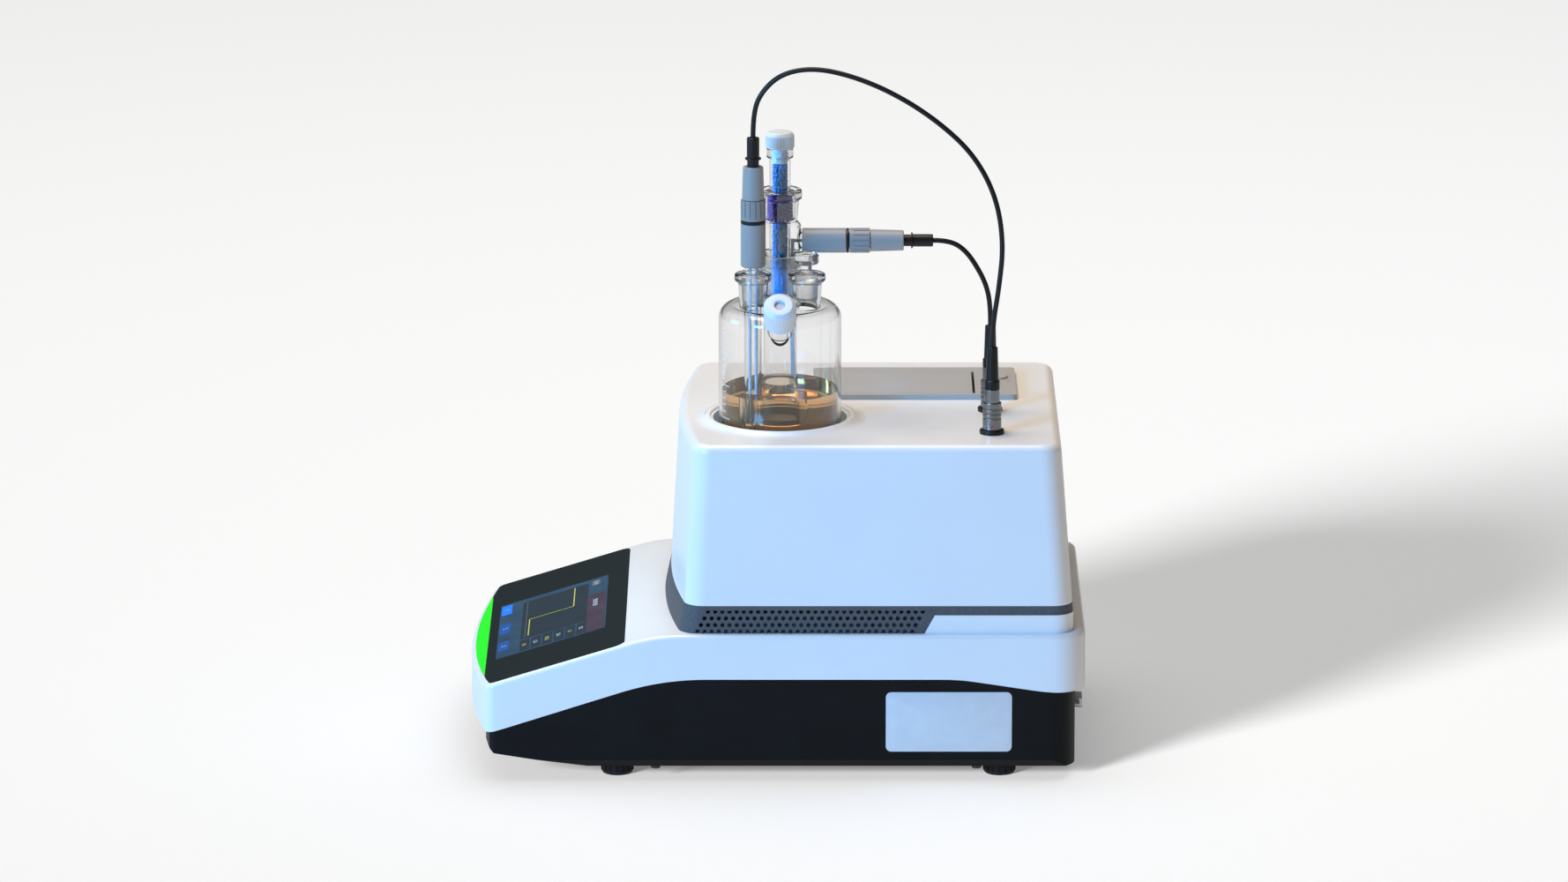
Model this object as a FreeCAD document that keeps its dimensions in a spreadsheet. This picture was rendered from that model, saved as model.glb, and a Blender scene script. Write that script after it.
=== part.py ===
"""Coulometric moisture titrator: display base, cell housing, glass cell and electrodes.

+Z is up, the display end points to -X, and the origin is under the middle of the body on the bench.
All lengths are in millimetres. Driving sizes are in the sheet; every solid is bound to them.
"""
import FreeCAD, Part
import math
import os

import Sketcher

V = FreeCAD.Vector
os.makedirs("parts", exist_ok=True)
doc = FreeCAD.newDocument("moisture_titrator")


# Sizes, one per line, with what each one measures.

SIZES = {
    # body outline
    "body_length": 462.0,        # nose to back
    "body_width": 284.0,         # side to side
    "nose_radius": 687.0,        # bow of the nose in plan
    "nose_corner": 8.0,
    "tail_corner": 24.0,
    "cover_wall": 2.8,
    "shell_gap": 0.3,            # between parts that close on each other
    # lower cover, side view
    "nose_top": 75.0,            # height of the sloping top, nose_inset behind the nose
    "nose_inset": 14.0,
    "display_slope": 17.1,       # degrees
    "flange_height": 114.0,
    "flange_blend": 130.0,
    "split_nose": 38.9,          # lower edge of the cover near the nose
    "split_start": 18.0,         # where that edge starts to rise, behind the nose
    "split_rise": 17.8,          # degrees
    "split_height": 80.0,
    "split_blend": 205.0,
    "split_drop_start": 94.0,    # ahead of the back, where the edge drops again
    "split_drop_end": 27.0,
    "split_back": 69.8,
    "split_back_blend": 150.0,
    "step_height": 128.0,        # raised rear seat of the housing
    "step_start": 120.4,         # ahead of the back
    "step_slant": 7.8,
    # base tray
    "tray_wall": 3.0,
    "tray_floor": 3.0,
    "tray_lap": 6.0,             # how far the tray reaches up inside the cover
    "tray_tail_inset": 7.4,
    "tray_chamfer": 6.0,
    "tray_nose_low": 22.0,
    "tray_nose_high": 29.0,
    "tray_nose_back": 14.0,
    "tray_chin": 6.0,
    "tray_slope_end": 90.0,
    # feet
    "foot_height": 10.8,
    "foot_radius": 12.3,
    "foot_front": 112.0,         # behind the nose
    "foot_rear": 63.5,           # ahead of the back
    "foot_inset": 30.0,          # from the side
    "foot_groove": 0.7,
    # vent band and housing
    "band_front": 147.0,         # from the nose to the band's lower front edge
    "band_back": 9.0,
    "band_side": 6.0,
    "band_top": 135.0,
    "band_flare": 4.5,
    "band_taper": 1.0,
    "band_wall": 2.2,
    "vent_radius": 1.55,
    "vent_pitch": 5.33,
    "vent_row": 5.05,
    "vent_rows": 4,
    "vent_count": 31,
    "vent_start": 180.5,         # first hole of the top row, behind the nose
    "vent_top": 130.6,           # height of the top row
    "housing_top": 257.0,
    "housing_lean_front": 6.9,
    "housing_lean_back": 9.2,
    "housing_lean_side": 3.1,
    "housing_wall": 3.0,
    "housing_corner": 15.0,
    "housing_edge": 6.5,
    "joint_lip": 4.0,            # overlap of the housing inside the band
    # display
    "glass_thick": 1.6,
    "glass_start": 13.0,         # behind the nose
    "glass_length": 105.0,
    "glass_inset": 3.5,          # rim of the cover round the glass
    "glass_corner": 7.0,
    "light_gap": 0.3,
    "module_long": 165.0,
    "module_wide": 98.0,
    "module_thick": 8.0,
    # cell well and stirrer
    "cell_x": 3.0,
    "cell_y": -45.0,
    "well_radius": 52.3,
    "well_lip": 4.2,
    "well_lip_height": 3.0,
    "well_wall": 2.0,
    "well_depth": 28.0,
    "well_floor": 2.7,
    "well_ring_height": 4.0,
    "magnet_radius": 32.0,
    "magnet_thick": 10.0,
    "magnet_gap": 3.0,
    "magnet_spacing": 22.0,
    "magnet_bore": 6.0,
    "bracket_wall": 3.0,
    "bracket_gap": 4.0,
    "motor_radius": 18.0,
    "motor_length": 42.0,
    "shaft_radius": 2.5,
    "running_fit": 0.05,
    "shaft_depth": 15.0,
    # vessel
    "vessel_radius": 46.0,
    "vessel_wall": 2.2,
    "vessel_side": 108.0,        # height of its side
    "vessel_shoulder": 11.0,
    "vessel_dome": 10.5,         # rise from the side to the top
    "vessel_foot": 5.0,
    "liquid_height": 48.6,
    "neck_x": 20.0,              # side necks, from the vessel's axis
    "neck_y": -16.0,
    "neck_rise": 140.0,          # vessel bottom to the rim
    "neck_rim": 5.0,
    "neck_rim_radius": 14.0,
    "neck_radius": 11.3,
    "neck_taper": 1.0,
    "neck_wall": 2.0,
    "neck_length": 22.0,
    "main_neck_y": 19.0,
    "main_neck_radius": 16.0,
    "main_neck_rise": 147.0,
    "main_neck_rim_radius": 18.0,
    "main_neck_rim": 7.0,
    "main_neck_length": 30.0,
    "main_neck_wall": 2.2,
    "port_tilt": 40.5,           # degrees from upright
    "port_y": -38.8,             # a point of the port's axis, from the vessel's axis
    "port_z": 96.8,
    "port_start": 7.0,
    "port_end": 36.0,
    "port_radius": 9.5,
    "port_wall": 1.9,
    "cap_radius": 12.2,
    "cap_length": 21.0,
    "cap_top": 2.2,
    "cap_hole": 4.0,
    "cap_rib": 0.5,
    "septum_thick": 1.8,
    "loose_gap": 0.3,            # between pieces that lift off each other
    "joint_gap": 0.15,           # ground joints that stay together
    # stopper
    "stopper_neck": 4.0,
    "stopper_disc": 9.0,
    "stopper_disc_thick": 8.5,
    "stopper_rise": 7.0,         # rim to the underside of the disc
    # electrode fittings, along their own axis
    "head_radius": 9.3,
    "head_length": 33.0,
    "seal_thick": 2.2,
    "collar_length": 15.3,
    "collar_bore": 6.0,
    "cone_length": 25.0,
    "cone_base": 8.3,
    "cone_tip": 7.6,
    "relief_length": 22.0,
    "relief_radius": 4.7,
    "relief_flange": 6.0,
    "relief_flange_at": 5.5,
    "head_lift": 5.4,            # neck rim to the measuring head
    "stem_radius": 6.4,
    "stem_wall": 1.2,
    "stem_bottom": 24.0,         # above the vessel's bottom
    "wire_radius": 1.15,
    "wire_offset": 2.3,
    "pin_radius": 0.5,
    "pin_reach": 8.0,
    # generator electrode
    "generator_radius": 12.5,
    "generator_wall": 1.4,
    "generator_bottom": 20.0,
    "generator_bulge": 15.85,
    "bulge_low": 151.0,
    "bulge_high": 169.0,
    "socket_low": 172.6,
    "socket_rise": 196.4,
    "socket_rim": 6.8,
    "socket_rim_radius": 16.5,
    "socket_radius": 14.5,
    "socket_taper": 1.5,
    "arm_rise": 157.0,
    "arm_wall": 1.4,
    "arm_reach": 16.4,           # generator axis to the side head
    "frit_thick": 4.0,
    "lead_radius": 1.3,
    "lead_offset": 9.5,
    "lead_bottom": 53.0,
    # drying tube
    "tube_radius": 8.0,
    "tube_wall": 1.3,
    "tube_bottom": 114.0,
    "tube_rise": 228.0,
    "tube_rim_radius": 10.0,
    "tube_rim": 7.0,
    "bead_gap": 0.4,
    "bead_top": 216.0,
    "drying_cap_radius": 10.75,
    "drying_cap_height": 12.0,
    "drying_plug_length": 10.5,
    # stir bar
    "bar_length": 25.0,
    "bar_radius": 4.0,
    # printer
    "panel_x": 107.0,
    "panel_y": 52.0,
    "panel_long": 150.0,
    "panel_wide": 86.0,
    "panel_rise": 4.0,
    "panel_corner": 3.0,
    "panel_ledge": 2.0,
    "lid_start": 44.0,
    "lid_long": 105.0,
    "lid_y": 47.5,
    "lid_wide": 66.3,
    "lid_thick": 4.8,
    "lid_skin": 2.4,
    "slit": 1.7,
    "bay_wall": 2.0,
    "bay_depth": 52.0,
    "roll_radius": 22.0,
    "roll_width": 57.0,
    "core_radius": 6.5,
    "roll_x": 72.0,
    "platen_radius": 4.0,
    "platen_x": 145.0,
    "platen_drop": 11.0,
    "axle_radius": 1.5,
    "hinge_radius": 1.0,
    "cheek": 2.0,
    "head_block": 7.0,
    "button_x": 168.6,
    "button_y": 64.0,
    "button_radius": 7.7,
    "button_proud": 1.5,
    # plugs
    "socket_x": 161.0,
    "near_socket_y": -92.0,
    "far_socket_y": -24.0,
    "flange_radius": 9.25,
    "flange_thick": 3.0,
    "barrel_radius": 6.0,
    "barrel_depth": 17.0,
    "plug_nose": 4.0,
    "plug_nose_depth": 11.0,
    "plug_radius": 5.65,
    "plug_length": 31.0,
    "sleeve_radius": 7.0,
    "sleeve_length": 20.6,
    "sleeve_groove": 0.5,
    "boot_collar": 6.0,
    "boot_length": 32.0,
    "boot_base": 4.75,
    "boot_tip": 4.0,
    "cable_radius": 1.9,
    # electrics
    "board_long": 170.0,
    "board_wide": 150.0,
    "board_thick": 1.6,
    "board_lift": 8.0,
    "board_front": 100.0,        # behind the nose
    "supply_long": 98.0,
    "supply_wide": 62.0,
    "supply_high": 34.0,
    "inlet_y": 72.0,
    "inlet_z": 42.0,
    "inlet_wide": 50.0,
    "inlet_high": 27.0,
    "inlet_flange": 3.0,
    "inlet_depth": 30.0,
    "recess_wide": 24.4,
    "recess_high": 16.6,
    "recess_depth": 17.0,
    "rocker_radius": 9.0,
    "rocker_wide": 12.0,
    "rocker_tilt": 10.0,
    "rocker_proud": 5.0,
    "serial_wide": 19.0,         # body of the serial port behind its plate
    "serial_high": 10.5,
    "port_socket_y": -62.0,
    "pillar_radius": 5.0,
    "pillar_inset": 12.0,
    "pillar_front": 141.0,
    "pillar_rear": 81.0,
    "screw_radius": 1.5,
    "screw_head": 3.5,
    "screw_head_high": 2.4,
    "screw_length": 12.0,
}


class Size:
    """A length with the sheet expression that it comes from."""

    def __init__(self, text, value):
        self.text = text
        self.value = value

    def __add__(self, other):
        return combine(self, "+", other)

    def __radd__(self, other):
        return combine(other, "+", self)

    def __sub__(self, other):
        return combine(self, "-", other)

    def __rsub__(self, other):
        return combine(other, "-", self)

    def __mul__(self, other):
        return combine(self, "*", other)

    def __rmul__(self, other):
        return combine(other, "*", self)

    def __truediv__(self, other):
        return combine(self, "/", other)

    def __neg__(self):
        return combine(0, "-", self)


def size_of(value):
    """The value as a Size, whether it is one already or a plain number."""
    if isinstance(value, Size):
        return value
    return Size(repr(float(value)), float(value))


def combine(left, sign, right):
    """Two sizes joined by + - * or /, as a new Size."""
    a = size_of(left)
    b = size_of(right)
    results = {"+": a.value + b.value, "-": a.value - b.value, "*": a.value * b.value}
    value = a.value / b.value if sign == "/" else results[sign]
    return Size(f"({a.text} {sign} {b.text})", value)


def function_of(name, value, result):
    """A sheet function of a Size, such as its square root."""
    return Size(f"{name}({value.text})", result)


def root(value):
    return function_of("sqrt", value, math.sqrt(value.value))


def sine(angle):
    return function_of("sin", angle, math.sin(math.radians(angle.value)))


def cosine(angle):
    return function_of("cos", angle, math.cos(math.radians(angle.value)))


def tangent(angle):
    return function_of("tan", angle, math.tan(math.radians(angle.value)))


class Sheet:
    """The spreadsheet of driving sizes, read by name."""

    def __init__(self, sizes):
        self.sizes = sizes
        sheet = doc.addObject("Spreadsheet::Sheet", "Sizes")
        for row, (name, value) in enumerate(sizes.items(), start=1):
            sheet.set(f"A{row}", name)
            sheet.set(f"B{row}", str(value))
            sheet.setAlias(f"B{row}", name)

    def __getattr__(self, name):
        return Size(f"Sizes.{name}", float(self.sizes[name]))


s = Sheet(SIZES)
doc.recompute()


# Helpers that bind shapes to the sheet.

def bind(item, prop, value):
    """Drives a property of the item by a Size."""
    item.setExpression(prop, size_of(value).text)


def place(item, x=0, y=0, z=0, rotation=None):
    """Puts an item at a bound position, turned by a fixed rotation."""
    at = [size_of(value) for value in (x, y, z)]
    item.Placement = FreeCAD.Placement(V(*[a.value for a in at]), rotation or FreeCAD.Rotation())
    for axis, value in zip("xyz", at):
        bind(item, f"Placement.Base.{axis}", value)
    return item


def box(x, y, z, name="box"):
    """A box between bound limits, each given as a (low, high) pair."""
    item = doc.addObject("Part::Box", name)
    for prop, (low, high) in zip(("Length", "Width", "Height"), (x, y, z)):
        bind(item, prop, size_of(high) - low)
    return place(item, x[0], y[0], z[0])


def cylinder(radius, z, x=0, y=0, name="cylinder"):
    """An upright cylinder over a (low, high) pair of heights."""
    item = doc.addObject("Part::Cylinder", name)
    bind(item, "Radius", radius)
    bind(item, "Height", size_of(z[1]) - z[0])
    return place(item, x, y, z[0])


def lying_cylinder(radius, span, axis, across, name="bar"):
    """A cylinder along X or Y over a (low, high) span; across holds its other two coordinates."""
    item = doc.addObject("Part::Cylinder", name)
    bind(item, "Radius", radius)
    bind(item, "Height", size_of(span[1]) - span[0])
    if axis == "X":
        return place(item, span[0], across[0], across[1], FreeCAD.Rotation(V(0, 1, 0), 90))
    return place(item, across[0], span[0], across[1], FreeCAD.Rotation(V(1, 0, 0), -90))


def cut(base, *tools):
    """The base less each tool."""
    for tool in tools:
        item = doc.addObject("Part::Cut", "cut")
        item.Base = base
        item.Tool = tool
        base = item
    return base


def fuse(*shapes):
    item = doc.addObject("Part::MultiFuse", "fuse")
    item.Shapes = list(shapes)
    return item


def common(first, second):
    item = doc.addObject("Part::Common", "common")
    item.Base = first
    item.Tool = second
    return item


def new_body(name):
    return doc.addObject("PartDesign::Body", name)


def new_sketch(body, plane, raised=None):
    """A sketch on one of the body's origin planes, at a bound distance from it."""
    sketch = body.newObject("Sketcher::SketchObject", "sketch")
    support = [f for f in body.Origin.OriginFeatures if f.Role == plane]
    sketch.AttachmentSupport = [(support[0], "")]
    sketch.MapMode = "FlatFace"
    if raised is not None:
        bind(sketch, "AttachmentOffset.Base.z", raised)
    return sketch


def pin_point(sketch, geometry, end, x, y):
    """Fixes a point of the sketch at a bound place."""
    for kind, value in (("DistanceX", size_of(x)), ("DistanceY", size_of(y))):
        index = sketch.addConstraint(Sketcher.Constraint(kind, -1, 1, geometry, end, value.value))
        sketch.setExpression(f"Constraints[{index}]", value.text)


def set_radius(sketch, geometry, radius):
    value = size_of(radius)
    index = sketch.addConstraint(Sketcher.Constraint("Radius", geometry, value.value))
    sketch.setExpression(f"Constraints[{index}]", value.text)


def draw_outline(sketch, corners):
    """Draws a closed outline. A corner is (x, y), or (x, y, radius) where it is rounded."""
    count = len(corners)
    points = [V(size_of(c[0]).value, size_of(c[1]).value, 0) for c in corners]
    radii = [size_of(c[2]) if len(c) > 2 else None for c in corners]
    starts = list(points)
    ends = list(points)
    arcs = {}
    for i, radius in enumerate(radii):
        if radius is None:
            continue
        back = (points[i - 1] - points[i]).normalize()
        ahead = (points[(i + 1) % count] - points[i]).normalize()
        half = back.getAngle(ahead) / 2
        reach = radius.value / math.tan(half)
        centre = points[i] + (back + ahead).normalize() * (radius.value / math.sin(half))
        ends[i] = points[i] + back * reach
        starts[i] = points[i] + ahead * reach
        turns_left = (ahead.cross(back)).z > 0
        first, last = (ends[i], starts[i]) if turns_left else (starts[i], ends[i])
        angles = [math.atan2(p.y - centre.y, p.x - centre.x) for p in (first, last)]
        circle = Part.Circle(centre, V(0, 0, 1), radius.value)
        arcs[i] = (Part.ArcOfCircle(circle, angles[0], angles[1]), turns_left)
    for i in range(count):
        sketch.addGeometry(Part.LineSegment(starts[i], ends[(i + 1) % count]), False)
    for i, corner in enumerate(corners):
        before = (i - 1) % count
        if i not in arcs:
            sketch.addConstraint(Sketcher.Constraint("Coincident", before, 2, i, 1))
            pin_point(sketch, i, 1, corner[0], corner[1])
            continue
        arc, turns_left = arcs[i]
        index = sketch.addGeometry(arc, False)
        near, far = (1, 2) if turns_left else (2, 1)
        sketch.addConstraint(Sketcher.Constraint("Tangent", before, 2, index, near))
        sketch.addConstraint(Sketcher.Constraint("Tangent", i, 1, index, far))
        set_radius(sketch, index, corner[2])
        tip = sketch.addGeometry(Part.Point(points[i]), True)
        pin_point(sketch, tip, 1, corner[0], corner[1])
        sketch.addConstraint(Sketcher.Constraint("PointOnObject", tip, 1, before))
        sketch.addConstraint(Sketcher.Constraint("PointOnObject", tip, 1, i))
    return sketch


def draw_plan(sketch, front, back, half, bow, front_corner, back_corner):
    """Draws the bowed plan: an arc across the front, straight sides and back, four round corners."""
    front, back, half, bow = [size_of(value) for value in (front, back, half, bow)]
    front_corner, back_corner = size_of(front_corner), size_of(back_corner)
    bow_x = front + bow
    side_y = half - front_corner
    corner_x = bow_x - root((bow - front_corner) * (bow - front_corner) - side_y * side_y)
    share = bow / (bow - front_corner)
    touch_x = bow_x + (corner_x - bow_x) * share
    touch_y = side_y * share
    tail_x = back - back_corner
    tail_y = half - back_corner

    def at(x, y):
        return V(x.value, y.value, 0)

    def arc(x, y, radius, first, last):
        centre = at(x, y)
        angles = [math.atan2(p.y - centre.y, p.x - centre.x) for p in (first, last)]
        circle = Part.Circle(centre, V(0, 0, 1), radius.value)
        return sketch.addGeometry(Part.ArcOfCircle(circle, angles[0], angles[1]), False)

    def line(first, last):
        return sketch.addGeometry(Part.LineSegment(first, last), False)

    near_side = line(at(corner_x, -half), at(tail_x, -half))
    near_tail = arc(tail_x, -tail_y, back_corner, at(tail_x, -half), at(back, -tail_y))
    tail = line(at(back, -tail_y), at(back, tail_y))
    far_tail = arc(tail_x, tail_y, back_corner, at(back, tail_y), at(tail_x, half))
    far_side = line(at(tail_x, half), at(corner_x, half))
    far_nose = arc(corner_x, side_y, front_corner, at(corner_x, half), at(touch_x, touch_y))
    nose = arc(bow_x, size_of(0), bow, at(touch_x, touch_y), at(touch_x, -touch_y))
    near_nose = arc(corner_x, -side_y, front_corner, at(touch_x, -touch_y), at(corner_x, -half))
    ring = [near_side, near_tail, tail, far_tail, far_side, far_nose, nose, near_nose]
    for i, edge in enumerate(ring):
        sketch.addConstraint(Sketcher.Constraint("Coincident", edge, 2, ring[(i + 1) % len(ring)], 1))
    pin_point(sketch, near_side, 1, corner_x, -half)
    pin_point(sketch, near_side, 2, tail_x, -half)
    pin_point(sketch, tail, 1, back, -tail_y)
    pin_point(sketch, tail, 2, back, tail_y)
    pin_point(sketch, far_side, 1, tail_x, half)
    pin_point(sketch, far_side, 2, corner_x, half)
    pin_point(sketch, nose, 1, touch_x, touch_y)
    pin_point(sketch, nose, 2, touch_x, -touch_y)
    for edge, radius in ((near_tail, back_corner), (far_tail, back_corner), (nose, bow)):
        set_radius(sketch, edge, radius)
    for edge in (far_nose, near_nose):
        set_radius(sketch, edge, front_corner)
    return sketch


def pad(body, sketch, length, centred=False):
    """Pads a sketch, to both sides of its plane where it is centred."""
    item = body.newObject("PartDesign::Pad", "pad")
    item.Profile = sketch
    bind(item, "Length", length)
    if centred:
        item.SideType = "Symmetric"
    return item


def prism(name, plane, corners, length, raised=None, centred=False):
    """A body padded from one outline."""
    body = new_body(name)
    pad(body, draw_outline(new_sketch(body, plane, raised), corners), length, centred)
    return body


def plan_prism(name, plan, low, high):
    """An upright prism of a bowed plan, given as the values that draw_plan takes."""
    body = new_body(name)
    pad(body, draw_plan(new_sketch(body, "XY_Plane", low), *plan), size_of(high) - low)
    return body


def plan_loft(low_plan, low, high_plan, high):
    """A loft between two bowed plans."""
    sections = []
    for plan, height in ((low_plan, low), (high_plan, high)):
        sketch = draw_plan(doc.addObject("Sketcher::SketchObject", "section"), *plan)
        bind(sketch, "Placement.Base.z", height)
        sections.append(sketch)
    loft = doc.addObject("Part::Loft", "loft")
    loft.Sections = sections
    loft.Solid = True
    return loft


def turned(name, corners, x=0, y=0, z=0, rotation=None):
    """A body of revolution; each corner is (radius, height) or (radius, height, rounding)."""
    body = new_body(name)
    sketch = draw_outline(new_sketch(body, "XZ_Plane"), corners)
    item = body.newObject("PartDesign::Revolution", "revolution")
    item.Profile = sketch
    item.ReferenceAxis = (sketch, ["V_Axis"])
    item.Angle = 360
    return place(body, x, y, z, rotation)


def ribbed(body, radius, depth, width, low, high, count):
    """Cuts evenly spaced grooves along the outside of a turned body."""
    sketch = draw_outline(new_sketch(body, "XY_Plane", low), [
        (radius - depth, -width / 2), (radius + 1, -width / 2),
        (radius + 1, width / 2), (radius - depth, width / 2)])
    groove = body.newObject("PartDesign::Pocket", "groove")
    groove.Profile = sketch
    bind(groove, "Length", high - low)
    groove.Reversed = True
    doc.recompute()
    axis = [f for f in body.Origin.OriginFeatures if f.Role == "Z_Axis"]
    ring = body.newObject("PartDesign::PolarPattern", "ring")
    ring.Originals = [groove]
    ring.Axis = (axis[0], [""])
    ring.Angle = 360
    ring.Occurrences = count
    body.Tip = ring
    return body


def round_top(base, radius):
    """Rounds the edges round the top face of a shape."""
    doc.recompute()
    top = base.Shape.BoundBox.ZMax
    edges = [i for i, edge in enumerate(base.Shape.Edges, start=1) if edge.BoundBox.ZMin > top - 0.01]
    item = doc.addObject("Part::Fillet", "rounding")
    item.Base = base
    item.Edges = [(i, radius.value, radius.value) for i in edges]
    return item


nodes = []


def node(item, label):
    """Names a finished sub-part."""
    item.Label = label
    nodes.append(item)
    return item


def group(label, master, spots):
    """One node of identical pieces, copied from a master shape to each (x, y, z) spot."""
    doc.recompute()
    item = doc.addObject("Part::Feature", label)
    copies = []
    for spot in spots:
        copy = master.Shape.copy()
        copy.translate(V(*[size_of(value).value for value in spot]))
        copies.append(copy)
    item.Shape = Part.makeCompound(copies)
    return node(item, label)


# Places that several parts share.

nose = -s.body_length / 2
tail = s.body_length / 2
half_width = s.body_width / 2
tray_low = s.foot_height
floor_top = tray_low + s.tray_floor
SPAN = s.body_length * 2


def inset_plan(inset, tail_inset=None):
    """The body's plan drawn in by an amount all round."""
    inset = size_of(inset)
    back = tail - (inset if tail_inset is None else tail_inset)
    return (nose + inset, back, half_width - inset, s.nose_radius - inset,
            s.nose_corner - inset if inset.value < 6 else size_of(2), s.tail_corner - inset)


def slope_height(x, drop=0):
    """Height of the sloping top, dropped square to it, at a place along X."""
    along = size_of(x) - (nose + s.nose_inset)
    return s.nose_top + along * tangent(s.display_slope) - size_of(drop) / cosine(s.display_slope)


def slope_meets(height, drop=0):
    """Where the sloping top, dropped by an amount, reaches a height."""
    rise = size_of(height) - s.nose_top + size_of(drop) / cosine(s.display_slope)
    return nose + s.nose_inset + rise / tangent(s.display_slope)


def split_line(lift):
    """Corners of the cover's lower edge, from nose to back, lifted by an amount."""
    lift = size_of(lift)
    start = nose + s.split_start
    rise_end = start + (s.split_height - s.split_nose) / tangent(s.split_rise)
    return [(nose - 1, s.split_nose + lift - 1),
            (start, s.split_nose + lift, s.split_blend / 4),
            (rise_end, s.split_height + lift, s.split_blend),
            (tail - s.split_drop_start, s.split_height + lift, s.split_back_blend),
            (tail - s.split_drop_end, s.split_back + lift, s.split_back_blend),
            (tail + 1, s.split_back + lift)]


def step_outline(raise_by, low):
    """Side view of the raised rear seat, with its slanted front end."""
    start = tail - s.step_start
    top = s.step_height + raise_by
    slant = s.step_slant / (s.step_height - s.flange_height)
    return [(start + (size_of(low) - s.flange_height) * slant, low), (tail + 1, low), (tail + 1, top),
            (start + s.step_slant + slant * raise_by, top)]


# Lower cover: the white top shell of the base.

def cover_solid(name, inset, drop, bottom):
    """The cover's outer or inner form: its plan crossed with its side view."""
    top = s.flange_height - drop
    side = bottom + [(tail + 1, top), (slope_meets(top, drop), top, s.flange_blend),
                     (nose - 1, slope_height(nose - 1, drop))]
    plan = plan_prism(name + "_plan", inset_plan(inset), 0, s.housing_top)
    return common(plan, prism(name + "_side", "XZ_Plane", side, SPAN, centred=True))


band_plan = (nose + s.band_front, tail - s.band_back, half_width - s.band_side, s.nose_radius,
             s.housing_corner, s.housing_corner)


def shrink(plan, inset):
    """A bowed plan drawn in by an amount all round."""
    front, back, half, bow, front_corner, back_corner = plan
    return (front + inset, back - inset, half - inset, bow - inset,
            front_corner - inset, back_corner - inset)


seat = common(plan_prism("seat_plan", band_plan, 0, s.housing_top),
              prism("seat_side", "XZ_Plane", step_outline(0, s.flange_height - 1), SPAN, centred=True))
cover = fuse(cover_solid("cover", 0, 0, split_line(0)), seat)
hollow_low = [(nose - 1, s.foot_height), (tail + 1, s.foot_height)]
hollow = cover_solid("cover_hollow", s.cover_wall, s.cover_wall, hollow_low)
opening_plan = shrink(band_plan, s.pillar_inset)
opening = plan_prism("cover_opening", opening_plan, s.flange_height / 2, s.housing_top)

glass_plan = inset_plan(s.glass_inset)
glass_front = nose + s.glass_start
glass_back = glass_front + s.glass_length


def slope_slab(name, top, bottom, front, back, grow=0):
    """A slab under the sloping top between two depths, over a stretch of X."""
    front = size_of(front) - grow
    back = size_of(back) + grow
    return prism(name, "XZ_Plane", [
        (front, slope_height(front, bottom)), (back, slope_height(back, bottom)),
        (back, slope_height(back, top)), (front, slope_height(front, top))], SPAN, centred=True)


def glass_form(name, grow, top, bottom):
    """The display glass, or its recess where it grows by a gap."""
    front, back, half = glass_front - grow, glass_back + grow, half_width - s.glass_inset + grow
    corner = s.glass_corner + grow
    plate = prism(name + "_plate", "XY_Plane", [
        (front, -half), (back, -half, corner), (back, half, corner), (front, half)], s.housing_top)
    bowed = plan_prism(name + "_bow", inset_plan(s.glass_inset - grow), 0, s.housing_top)
    slab = slope_slab(name + "_slab", top, bottom, front, back)
    return common(common(plate, bowed), slab)


def light_form(name, grow, top, bottom):
    """The status light: the crescent between the glass and the nose."""
    bowed = plan_prism(name + "_bow", inset_plan(s.glass_inset - grow), 0, s.housing_top)
    front, back = nose, glass_front - s.light_gap
    return common(bowed, slope_slab(name + "_slab", top, bottom, front, back))


glass_recess = glass_form("glass_recess", s.shell_gap, -s.glass_thick, s.glass_thick)
light_recess = light_form("light_recess", s.shell_gap, -s.glass_thick, s.glass_thick)
module_front = (glass_front + glass_back) / 2 - s.module_wide * cosine(s.display_slope) / 2
module_back = module_front + s.module_wide * cosine(s.display_slope)
window = common(slope_slab("window_slab", -1, s.cover_wall * 2, module_front, module_back, s.shell_gap),
                box((nose, tail), (-s.module_long / 2 - s.shell_gap, s.module_long / 2 + s.shell_gap),
                    (0, s.housing_top)))

pillar_spots = [(x, side * (half_width - s.pillar_inset))
                for x in (nose + s.pillar_front, tail - s.pillar_rear) for side in (-1, 1)]
pillars = [cylinder(s.pillar_radius, (floor_top + s.shell_gap, s.flange_height - 1), x, y)
           for x, y in pillar_spots]
screw_holes = [cylinder(s.screw_radius + s.running_fit * 2,
                        (tray_low, floor_top + s.screw_length + 1), x, y) for x, y in pillar_spots]
lower_cover = cut(cover, hollow, opening, glass_recess, light_recess, window)
node(cut(fuse(lower_cover, *pillars), *screw_holes), "lower_cover")

node(glass_form("glass", 0, 0, s.glass_thick), "display_glass")
node(light_form("light", 0, 0, s.glass_thick), "status_light")

module = common(slope_slab("module_slab", s.glass_thick + s.shell_gap, s.glass_thick + s.module_thick,
                           module_front, module_back),
                box((nose, tail), (-s.module_long / 2, s.module_long / 2), (0, s.housing_top)))
node(module, "display_module")


# Base tray: the black tub that the cover closes.

def tray_side(low, grow, top_lift):
    """Side view of the tray: chin, chamfered nose and flat bottom under the lapped edge."""
    lift = size_of(low) - tray_low
    front = nose + s.tray_nose_back + grow
    edge = split_line(top_lift)
    return [(front, s.tray_nose_high + lift), (front + s.tray_chin, s.tray_nose_low + lift),
            (nose + s.tray_slope_end, low), (tail + 1, low), edge[5], edge[4], edge[3], edge[2],
            (edge[1][0], edge[1][1]), (front, edge[1][1] - 0.5)]


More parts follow.
